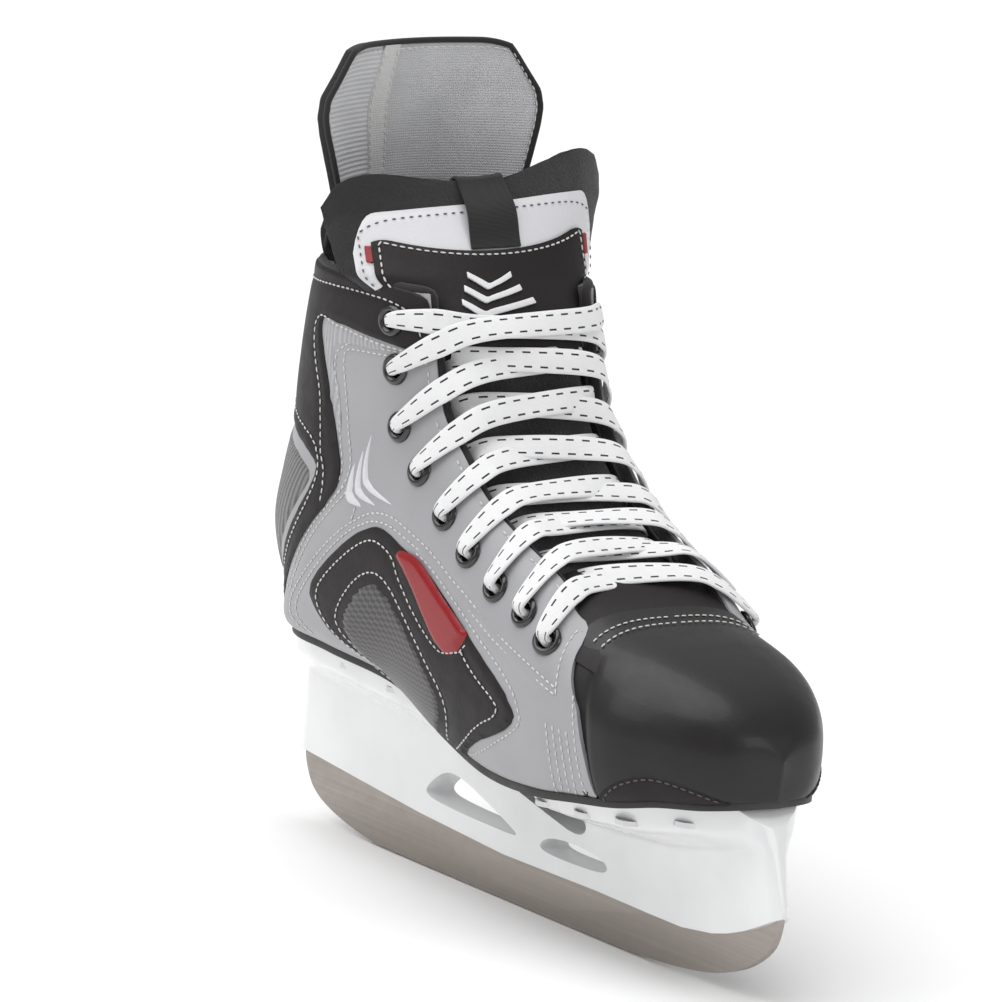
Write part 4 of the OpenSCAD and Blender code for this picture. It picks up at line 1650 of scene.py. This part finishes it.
@dataclass
class Tongue:
    """Felt tongue with two upper lobes, a silver face, a black badge and a ribbon loop."""

    fold: float = 212.0
    thick: float = 6.0
    tilt: float = .085
    grid: Array = field(init=False)
    length: float = field(init=False)
    FINE: ClassVar[int] = 240
    FLAT: ClassVar[Pair] = (120, 200)

    def rows(self) -> Array:
        """Rows of points up the tongue's face, each from the medial to the lateral edge.

        Returns:
            One row for each point.
        """
        out = []
        for u in np.arange(5.4, 16.7, .35):
            low = float(Form.eyestay(np.array(u))) - (.05 if u < 6 else .15)
            v = low + (1 - low) * np.linspace(0, 1, 13)
            lift = -8.2 + 2.2 * (v - low) / (1 - low)
            a = Form.skin(np.full(13, u), v, lift, Side.MEDIAL)
            b = Form.skin(np.full(13, u), v, lift, Side.LATERAL)[::-1]
            out.append(np.vstack([a, b[1:]]))
        for t in (-.3, -.2, -.05, .12, .35, .6, .85, 1.0):
            out.append(np.array([self.top_point(s, t) for s in np.linspace(-1, 1, 25)]))
        return np.array(out)

    def top_point(self, s: float, t: float) -> Array:
        """A point of the upper tongue: s across, t up from the fold.

        Args:
            s: share across, -1 to 1.
            t: share up from the fold.
        Returns:
            The point in millimetres.
        """
        k = min(1.0, max(0.0, .35 + t * .65))
        w = 49.5 + 3.5 * k
        a = math.radians(s * (80 - 40 * k))
        out = min(1.0, max(0.0, (abs(s) - .64) / .36))
        lobe = (5 + 2 * (s > 0)) * k * (1 - math.cos(2 * math.pi * min(abs(s), .75) / 1.5)) / 2
        lobe -= 13 * k * (1 - math.sqrt(1 - .98 * out ** 2.4))
        y = w * math.sin(a) / math.sin(math.radians(80 - 40 * k)) + 2.5 * max(0.0, min(1.0, t + .3))
        late = max(0.0, min(1.0, t + .4))
        return np.array([-47 - 17 * max(t, -.3) - (28 - 16 * k) * s * s + .10 * y * late, y,
                         self.fold + t * 23 + lobe * max(t, 0) + self.tilt * y * late])

    def __post_init__(self) -> None:
        """Lays the face out as a fine, smooth grid of points."""
        rows = self.rows()
        d = run_of(rows[:, 12])
        self.length = float(d[-1])
        stops = np.linspace(0, d[-1], self.FINE)
        grid = np.stack([[np.interp(stops, d, rows[:, j, k]) for k in range(3)] for j in range(rows.shape[1])], 0)
        self.grid = grid.transpose(2, 0, 1)
        for _ in range(6):
            self.grid[1:-1] = (self.grid[:-2] + 2 * self.grid[1:-1] + self.grid[2:]) / 4

    def place(self, s: Array, t: Array) -> Array:
        """Points of the face for shares across and along.

        Args:
            s: shares across.
            t: shares along.
        Returns:
            One row for each point.
        """
        grid = self.grid
        i = np.clip(t, 0, 1) * (grid.shape[0] - 1)
        j = np.clip(s, 0, 1) * (grid.shape[1] - 1)
        i0, j0 = np.minimum(i.astype(int), grid.shape[0] - 2), np.minimum(j.astype(int), grid.shape[1] - 2)
        a, b = (i - i0)[:, None], (j - j0)[:, None]
        return (grid[i0, j0] * (1 - a) * (1 - b) + grid[i0 + 1, j0] * a * (1 - b)
                + grid[i0, j0 + 1] * (1 - a) * b + grid[i0 + 1, j0 + 1] * a * b)

    def share(self, z: float) -> float:
        """The share along at which the middle of the face reaches a height."""
        return float(np.interp(z, self.grid[60:, 12, 2], np.linspace(0, 1, self.FINE)[60:]))

    def outward(self, s: Array, t: Array) -> Array:
        """Unit directions out of the tongue's face.

        Args:
            s: shares across.
            t: shares along.
        Returns:
            One row for each point.
        """
        h = .012
        a = self.place(np.minimum(s + h, 1), t) - self.place(np.maximum(s - h, 0), t)
        b = self.place(s, np.minimum(t + h, 1)) - self.place(s, np.maximum(t - h, 0))
        n = np.cross(a, b)
        n = n / np.maximum(np.linalg.norm(n, axis=1, keepdims=True), 1e-9)
        return n * np.where(n[:, :1] + n[:, 2:] * .3 < 0, -1, 1)

    def strip(self, name: str, box: tuple[float, float, float, float], lift: float, thick: float,
              dip: Callable[[Array], Array] | None = None, corner: float = .12) -> Piece:
        """A panel lying on the tongue between two shares across and two along.

        Args:
            name: the piece's name.
            box: first and last share across, first and last share along.
            lift: height of its face over the tongue.
            thick: its thickness.
            dip: change of the upper edge across the panel.
            corner: how much of the top is rounded away at the corners.
        Returns:
            The new piece.
        """
        s0, s1, t0, t1 = box

        def on(s: Array, t: Array) -> Array:
            """Points for shares across and along.

            Args:
                s: shares across.
                t: shares along.
            Returns:
                One row for each point.
            """
            w = np.abs(s * 2 - 1)
            top = t1 - (dip(s) if dip else 0) - corner * (t1 - t0) * ramp(w, .8, 1) ** 2.5
            shift = t0 + (top - t0) * t
            edge = 8 * np.minimum(np.minimum(s, 1 - s), 1 - t)
            up = lift - .5 * np.exp(-(edge / .35) ** 2)
            return self.place(s0 + (s1 - s0) * s, shift) + self.outward(s0 + (s1 - s0) * s, shift) * up[:, None]
        piece = sheet_piece(name, 60, 60, on, (90, 60))
        back_wall(piece, thick)
        return smooth(piece, 55)

    def bend(self, piece: Piece) -> Piece:
        """Bakes a piece's transform into its mesh."""
        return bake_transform(piece)

    def build(self, wear: Wardrobe) -> None:
        """Builds and dresses the tongue.

        Args:
            wear: the finishes.
        """
        felt = sheet_piece("tongue_pad", 70, 190, self.place, (90, 200))
        back_wall(felt, self.thick)
        ease(felt, 1.9, 3, 60)
        pad_out(felt, 1.3)
        self.bend(wear.dress(smooth(felt, 60), "grey_felt", "tongue_felt", "tongue_lower", "tongue_upper", body=None))
        face = self.strip("tongue_silver_face", (.065, .925, self.share(186), self.share(self.fold + 15)), .9, 1.0,
                          lambda s: -.012 * np.cos((s * 2 - 1) * math.pi) , .3)
        self.bend(wear.dress(face, "silver_synthetic", "tongue_silver", "tongue_face", body=None))
        badge = self.strip("tongue_badge_panel", (.125, .82, self.share(184), self.share(self.fold + 6.5)), 2.2, 1.5,
                           lambda s: .034 * (1 - np.abs(s * 2 - 1) ** 2), .06)
        self.bend(wear.dress(badge, "black_synthetic", "badge_black", "tongue_badge", body=None))
        for number, (s0, s1) in enumerate(((.103, .126), (.822, .85))):
            tab = self.strip(f"tongue_tab_{number}",
                             (s0, s1, self.share(self.fold - 2), self.share(self.fold + 3.5)), 1.7, 1.0, None, .5)
            self.bend(wear.dress(tab, "red_gloss", "badge_red", body=None))
        self.bend(wear.dress(self.badge_seam(), "thread_white", "tape_light", body=None))
        self.bend(wear.dress(self.face_seam(), "thread_dark", "badge_black", body=None))
        wear.dress(self.emblem(), "silver_gloss", "lace_tip")
        wear.dress(self.loop(), "black_ribbon", "strap_black", "tongue_loop", body="tongue_top")
        LOG.info("tongue length %.0f mm", self.length)

    def on_face(self, path: Array, lift: float) -> tuple[Array, Array]:
        """Points and outward directions along a path on the tongue.

        Args:
            path: shares across and along.
            lift: height over the face.
        Returns:
            Points and outward directions.
        """
        s, t = path[:, 0], path[:, 1]
        n = self.outward(s, t)
        return self.place(s, t) + n * lift, n

    def badge_seam(self) -> Piece:
        """White stitches inside the badge's edge.

        Returns:
            The piece.
        """
        low, high = self.share(184), self.share(self.fold + 5.0)
        x = np.linspace(-1, 1, 60)
        top = np.stack([.4725 + .325 * x, high - .034 * (1 - (x * .94) ** 2)], 1)
        path = np.vstack([[(.1475, low)], top, [(.7975, low)]])
        line, up = self.on_face(evenly(path * self.FLAT, 1.0) / self.FLAT, 2.35)
        return THREAD.piece("tongue_badge_stitches", THREAD.rows(line, up))

    def face_seam(self) -> Piece:
        """Dark stitches inside the silver face's edge.

        Returns:
            The piece.
        """
        low, high = self.share(200), self.share(self.fold + 13)
        x = np.linspace(-1, 1, 60)
        top = np.stack([.495 + .406 * x, high + .010 * np.cos(x * math.pi) - .03 * np.abs(x) ** 8 - .0012], 1)
        path = np.vstack([[(.089, low)], top, [(.901, low)]])
        line, up = self.on_face(evenly(path * self.FLAT, 1.0) / self.FLAT, 1.05)
        return FINE_THREAD.piece("tongue_face_stitches", FINE_THREAD.rows(line, up))

    def emblem(self) -> Piece:
        """Three plain nested chevrons, raised on the badge.

        Returns:
            The piece.
        """
        parts, faces, n = [], [], 0
        mid = self.share(200.5)
        for k in range(3):
            arm, wide = .085 - .012 * k, .010
            y = mid - .052 + .03 * k
            path = np.array([(.44 - arm, y + .028), (.44, y), (.44 + arm, y + .028)])
            line = evenly(path * self.FLAT, 1.2) / self.FLAT
            for height in (2.3, 3.1):
                a, _ = self.on_face(line, height)
                b, _ = self.on_face(line + (0, wide * 1.3), height)
                parts += [a, b]
            m = len(line)
            ring = [n, n + m, n + 3 * m, n + 2 * m]
            for i in range(m - 1):
                faces += [[ring[j] + i, ring[(j + 1) % 4] + i, ring[(j + 1) % 4] + i + 1,
                           ring[j] + i + 1] for j in range(4)]
            faces += [[r for r in ring], [r + m - 1 for r in ring[::-1]]]
            n += 4 * m
        piece = weld(piece_from("tongue_emblem", np.vstack(parts), faces), .01)
        ease(piece, .2, 2)
        return smooth(piece)

    def loop(self) -> Piece:
        """The ribbon pull over the top edge.

        Returns:
            The piece.
        """
        def on(s: Array, t: Array) -> Array:
            """Points for shares across and along.

            Args:
                s: shares across.
                t: shares along.
            Returns:
                One row for each point.
            """
            across = .485 + (s - .5) * .15
            along = self.share(self.fold + 2.5) + (1 - self.share(self.fold + 2.5)) * np.minimum(t * 1.25, 1)
            p = self.place(across, along)
            n = self.outward(across, along)
            over = ramp(t, .8, 1)[:, None]
            rise = np.sin(over * math.pi / 2) * 1.6
            swell = 1.5 + 2.2 * np.sin(np.clip(t / .8, 0, 1) * math.pi)[:, None] ** 2
            return p + n * (swell * (1 - over) - over * 6.5) + np.array([0, 0,
                                                                         1]) * (rise + 1.2 * np.sin(over * math.pi))
        piece = sheet_piece("tongue_ribbon", 16, 70, on, (18, 60))
        thicken(piece, 1.0, 0)
        ease(piece, .3, 2)
        return smooth(piece)


@dataclass
class TendonGuard:
    """Curved guard above the heel: binding, two fabrics, a seam tape and stitches."""

    fold: float = 204.0
    height: float = 71.0
    thick: float = 3.2

    def half(self, h: Array) -> Array:
        """Half width up the guard."""
        return np.interp(h, [0, .25, .45, .6, .68, .76, .88, .96, 1], [31, 36, 40, 43, 44, 43, 37.5, 34, 32])

    def at(self, s: Array, h: Array, depth: Array | float) -> Array:
        """A point of the guard: s across (-1 to 1), h up (0 to 1), depth in front of its face.

        Args:
            s: shares across, -1 to 1.
            h: shares up.
            depth: millimetres in front of the face.
        Returns:
            One row for each point.
        """
        k = np.clip(h / .35, 0, 1)
        x = -122 + 12 * (k * k * (3 - 2 * k)) + 4 * h
        a = np.radians(20 * s)
        corner = 1.8 * np.clip((np.abs(s) - .7) / .3, 0, 1) ** 2 * ramp(h, .75, 1)
        return np.stack([x + depth * np.cos(a) + 18 * s * s * (1 - .5 * h * h),
                         s * self.half(h) + depth * np.sin(a) + 1.6 * np.clip(h * 3, 0, 1),
                         self.fold + 1.6 + self.height * h - corner + .03 * s * self.half(h)], -1)

    def shell(self) -> Piece:
        """The padded plate, which starts between the collar and the lining.

        Returns:
            The piece.
        """
        def on(s: Array, t: Array) -> Array:
            """Points for shares across and along.

            Args:
                s: shares across.
                t: shares along.
            Returns:
                One row for each point.
            """
            h = t * 1.16 - .16
            p = self.at(s * 2 - 1, np.maximum(h, 0), 0.0)
            tuck = ramp(h, .12, -0.16)
            p[:, 0] += 5.5 * tuck
            p[:, 1] *= 1 - .12 * tuck
            p[:, 2] += self.height * np.minimum(h, 0)
            return p
        piece = sheet_piece("guard_plate", 60, 104, on, (92, 84))
        back_wall(piece, self.thick)
        pad_out(piece, .5)
        ease(piece, .9, 3, 55)
        return smooth(piece, 60)

    def cover(self, name: str, s0: float, s1: float) -> Piece:
        """A fabric cover on the front between two shares.

        Args:
            name: its name.
            s0: first share across.
            s1: last share across.
        Returns:
            The piece.
        """
        def on(s: Array, t: Array) -> Array:
            """Points for shares across and along.

            Args:
                s: shares across.
                t: shares along.
            Returns:
                One row for each point.
            """
            h = .01 + .978 * t
            edge = np.minimum(np.minimum(s, 1 - s) * 40, np.minimum(t, 1 - t) * 60)
            return self.at(s0 + (s1 - s0) * s, h, .2 + 1.1 * (1 - np.exp(-edge)))
        piece = sheet_piece(name, 50, 120, on, (46 * (s1 - s0), 70))
        back_wall(piece, .9)
        return smooth(piece, 60)

    def binding(self) -> Piece:
        """The rolled edge.

        Returns:
            The piece.
        """
        h = np.linspace(.04, 1, 60)
        s = np.linspace(-1, 1, 70)[1:-1]
        path = np.vstack([self.at(np.full(60, -1.0), h, .2), self.at(s, np.full(len(s), 1.0), .2),
                          self.at(np.full(60, 1.0), h[::-1], .2)])
        return tube("guard_binding", evenly(path, 1.4), 1.05, 12)

    def front(self, s: Array, h: Array) -> Array:
        """Directions out of the guard's face."""
        return self.at(s, h, 3.0) - self.at(s, h, 1.0)

    def stitches(self) -> Piece:
        """Stitches along the binding and both edges of the tape.

        Returns:
            The piece.
        """
        rows = []
        h = np.linspace(.02, .955, 80)
        for s in (-.955, -.445, -.275, .955):
            across = np.full(80, s)
            rows += THREAD.rows(self.at(across, h, 1.55 if abs(s) > .9 else 2.4), self.front(across, h))
        across, h = np.linspace(-.94, .94, 80), np.full(80, .968)
        rows += THREAD.rows(self.at(across, h, 1.55), self.front(across, h))
        return THREAD.piece("guard_stitches", rows)

    def build(self, wear: Wardrobe) -> None:
        """Builds and dresses the guard.

        Args:
            wear: the finishes.
        """
        plate = wear.dress(self.shell(), "grey_felt", "guard_felt", "tendon_guard", "guard_base", body=None)
        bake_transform(plate)
        wear.dress(self.cover("guard_ribbed_cover", -.985, -.36), "guard_ribs", "guard_knit", "guard_lining",
                   body="guard")
        wear.dress(self.cover("guard_knit_cover", -.36, .985), "grey_knit", "guard_knit", body="guard")
        tape = sheet_piece("guard_tape", 8, 90, lambda s, t: self.at(-.46 + .2 * s, .01 + .978 * t, 2.1), (9, 70))
        back_wall(tape, .7)
        wear.dress(smooth(tape), "light_tape", "tape_light", "guard_seam_tape", body="guard")
        wear.dress(self.binding(), "dark_binding", "guard_felt", body="guard")
        wear.dress(self.stitches(), "thread_white", "tape_light", body="guard")


@dataclass
class Lace:
    """One flat lace criss-crossed through eighteen eyelets."""

    wide: float = 8.6
    thin: float = 1.3
    bunch: Pair = (3.6, 2.6)
    under: float = -5.0

    def stop(self, u: float, v: float, lift: float, side: int, wide: float, thin: float) -> Array:
        """One stop on the lace's way: place, outward direction, width and thickness.

        Args:
            u: its station.
            v: its share.
            lift: distance outside the surface, in millimetres.
            side: -1 medial, 1 lateral.
            wide: width of the lace.
            thin: its thickness.
        Returns:
            Eight numbers.
        """
        s = Side(side)
        n = Form.normal(np.array(u), np.array(v), s)
        return np.concatenate([Form.surface(np.array(u), np.array(v), s) + lift * n, n, [wide, thin]])

    def crossing(self, row: int, side: int, over: bool) -> list[Array]:
        """From an eyelet over its own flap, across the tongue and up to the next eyelet opposite.

        Args:
            row: the eyelet row it starts from.
            side: -1 medial, 1 lateral.
            over: whether it runs on top.
        Returns:
            The stops in order.
        """
        (a, va), (b, vb) = eye(row), eye(row - 1)
        ea, eb = (float(Form.eyestay(np.array(x))) for x in (a, b))
        hi = 1.1 if over else -1.1
        w, t, d = self.wide, self.thin, a - b
        first = [self.stop(a, va, 2.6, side, *self.bunch),
                 self.stop(a - d * .04, va + .035, 3, side, w - 2.4, t * 1.5),
                 self.stop(a - d * .18, ea + .01, 1.6, side, w, t)]
        if row == 1:
            return first + [self.stop(a - d * .4, (ea + 1) / 2 + .03, -.6 + hi, side, w, t),
                            self.stop(a - d * .6, (eb + 1) / 2 + .03, -.6 + hi, -side, w, t),
                            self.stop(a - d * .84, eb + .01, 1.6, -side, w, t),
                            self.stop(b, vb + .035, 3.4, -side, w - 2.4, t * 1.5),
                            self.stop(b, vb, 2.6, -side, *self.bunch),
                            self.stop(b, vb, self.under - .6, -side, *self.bunch),
                            self.stop(b + .1, vb - .04, self.under - 1.9, -side, *self.bunch),
                            self.stop(b + .2, vb - .12, self.under - 1.9, -side, *self.bunch)]
        return first + [self.stop(a - d * .36, (ea + 1) / 2 + .03, -.6 + hi, side, w, t),
                        self.stop(a - d * .64, (eb + 1) / 2 + .03, -4 + hi, -side, w, t),
                        self.stop(a - d * .86, eb - .005, self.under - 1.7, -side, w, t),
                        self.stop(b, vb + .03, self.under - 1.9, -side, w - 3, t),
                        self.stop(b, vb, self.under - .8, -side, *self.bunch)]

    def half(self, side: int) -> list[Array]:
        """Every stop of one half, from the lowest row up.

        Args:
            side: -1 medial, 1 lateral.
        Returns:
            The stops in order.
        """
        out: list[Array] = []
        for row in range(8, 0, -1):
            out += self.crossing(row, side * (1 if row % 2 == 0 else -1), side > 0)
        return out

    def way(self) -> Array:
        """Every stop from one end to the other.

        Returns:
            One row for each point.
        """
        a, va = eye(8)
        edge = float(Form.eyestay(np.array(a)))
        bar = [[self.stop(a, va, self.under - .8, sd, *self.bunch),
                self.stop(a, va + .03, self.under - 1.9, sd, self.wide - 3, self.thin),
                self.stop(a, edge, self.under - 1.7, sd, self.wide, self.thin)] for sd in (-1, 1)]
        return np.array(self.half(-1)[::-1] + bar[0] + bar[1][::-1] + self.half(1))

    def build(self, wear: Wardrobe) -> None:
        """Builds and dresses the lace.

        Args:
            wear: the finishes.
        """
        stops = self.way()
        n = len(stops)
        fine = []
        for i in range(n - 1):
            a, b, c, d = (stops[min(max(k, 0), n - 1)] for k in (i - 1, i, i + 1, i + 2))
            for t in np.linspace(0, 1, 12, endpoint=False):
                x = spline(a, b, c, d, t)
                x[3:] = b[3:] + (c[3:] - b[3:]) * t
                fine.append(x)
        path = np.array(fine + [stops[-1]])
        go = np.gradient(path[:, :3], axis=0)
        go /= np.linalg.norm(go, axis=1, keepdims=True)
        run = run_of(path[:, :3])
        across = np.cross(go, path[:, 3:6])
        across /= np.maximum(np.linalg.norm(across, axis=1, keepdims=True), 1e-9)
        for _ in range(3):
            across[1:-1] = (across[:-2] + across[1:-1] + across[2:]) / 3
            across -= (across * go).sum(1, keepdims=True) * go
            across /= np.linalg.norm(across, axis=1, keepdims=True)
        up = np.cross(across, go)
        roll = .12 * np.sin(run / 9.0)[:, None]
        across, up = across * np.cos(roll) + up * np.sin(roll), up * np.cos(roll) - across * np.sin(roll)
        sides = 16
        a = np.linspace(0, 2 * math.pi, sides, endpoint=False)
        x = np.sign(np.cos(a)) * np.abs(np.cos(a)) ** .55
        z = np.sign(np.sin(a)) * np.abs(np.sin(a)) ** .8
        w, t = path[:, 6, None] / 2, path[:, 7, None] / 2
        ring = path[:, None, :3] + across[:, None] * (w * x)[..., None] + up[:, None] * (t * z)[..., None]
        m = len(path)
        faces = grid_faces(m, sides)
        faces += [list(range(sides)), list(range((m - 1) * sides, m * sides))[::-1]]
        flat = np.stack([np.repeat(run, sides), np.tile(x * 100, m)], 1)
        piece = piece_from("flat_lace", ring.reshape(-1, 3), faces, flat)
        with editing(piece):
            bpy.ops.mesh.normals_make_consistent(inside=False)
        wear.dress(smooth(piece, 70), "woven_lace", "lace_white", "lace")
        wear.repaint("lace_tips", "silver_gloss")
        LOG.info("lace length %.0f mm", run[-1])


@dataclass
class Studio:
    """Pale floor, soft lights and the camera."""

    target: tuple[float, float, float] = (-7.22, -20.82, 138.5)
    azimuth: float = 53.91
    elevation: float = 10.82
    roll: float = 4.46
    distance: float = 2192.83
    lens: float = 6681.5 * 36 / 1002

    def build(self) -> None:
        """Builds the set."""
        clear_selection()
        bpy.ops.mesh.primitive_plane_add(size=8, location=(0, 0, -.0004))
        floor = bpy.context.object
        floor.name = "studio_floor"
        p = Paint("pale_floor")
        tone = p.node("TexNoise", {"Vector": p.place(), "Scale": 3.0}).outputs[0]
        p.feed("Base Color", p.mix(tone, (.93, .93, .93), (.95, .95, .95)))
        p.feed("Roughness", .75)
        floor.data.materials.append(p.material)
        world = bpy.data.worlds.new("soft_white")
        world.use_nodes = True
        world.node_tree.nodes["Background"].inputs[0].default_value = (1, 1, 1, 1)
        world.node_tree.nodes["Background"].inputs[1].default_value = .45
        bpy.context.scene.world = world
        self._lamp("key", (-.3, -1.7, 1.1), 1.0, 6)
        self._lamp("fill", (1.7, .5, .8), .8, 4)
        bpy.ops.object.light_add(type="SUN", rotation=(math.radians(12), math.radians(-8), 0))
        sky = bpy.context.object
        sky.name = "overhead"
        sky.data.energy, sky.data.angle = 2.3, math.radians(70)
        bpy.context.scene.view_settings.view_transform = "Standard"
        self._camera()

    @staticmethod
    def _lamp(name: str, spot: tuple[float, float, float], size: float, power: float) -> None:
        """A large soft lamp that looks at the boot.

        Args:
            name: its name.
            spot: its place, in metres.
            size: its size, in metres.
            power: its power, in watts.
        """
        bpy.ops.object.light_add(type="AREA", location=spot)
        lamp = bpy.context.object
        lamp.name = name
        lamp.data.size, lamp.data.energy = size, power
        lamp.rotation_euler = (Vector((0, 0, .12)) - Vector(spot)).to_track_quat("-Z", "Y").to_euler()

    def _camera(self) -> None:
        """The camera, with its slight roll."""
        a, e, r = (math.radians(x) for x in (self.azimuth, self.elevation, self.roll))
        back = Vector((math.sin(a) * math.cos(e), -math.cos(a) * math.cos(e), math.sin(e)))
        right = (-back).cross(Vector((0, 0, 1))).normalized()
        up = right.cross(-back)
        rows = (right * math.cos(r) + up * math.sin(r), up * math.cos(r) - right * math.sin(r), back)
        bpy.ops.object.camera_add()
        camera = bpy.context.object
        spot = Matrix.Translation((Vector(self.target) + back * self.distance) * MM)
        camera.matrix_world = spot @ Matrix(rows).transposed().to_4x4()
        camera.data.lens = self.lens
        camera.data.sensor_width = 36
        camera.data.clip_end = 50
        bpy.context.scene.camera = camera


def main() -> None:
    """Builds every sub-assembly in order."""
    logging.basicConfig(level=logging.INFO, format="%(name)s %(message)s")
    wear = Wardrobe()
    RunnerUnit().build(wear)
    SoleUnit().build(wear)
    for side in Side:
        Quarter(side).build(wear)
    ToeUnit().build(wear)
    Tongue().build(wear)
    TendonGuard().build(wear)
    Lace().build(wear)
    Studio().build()
    clear_selection()


if __name__ == "__main__":
    main()
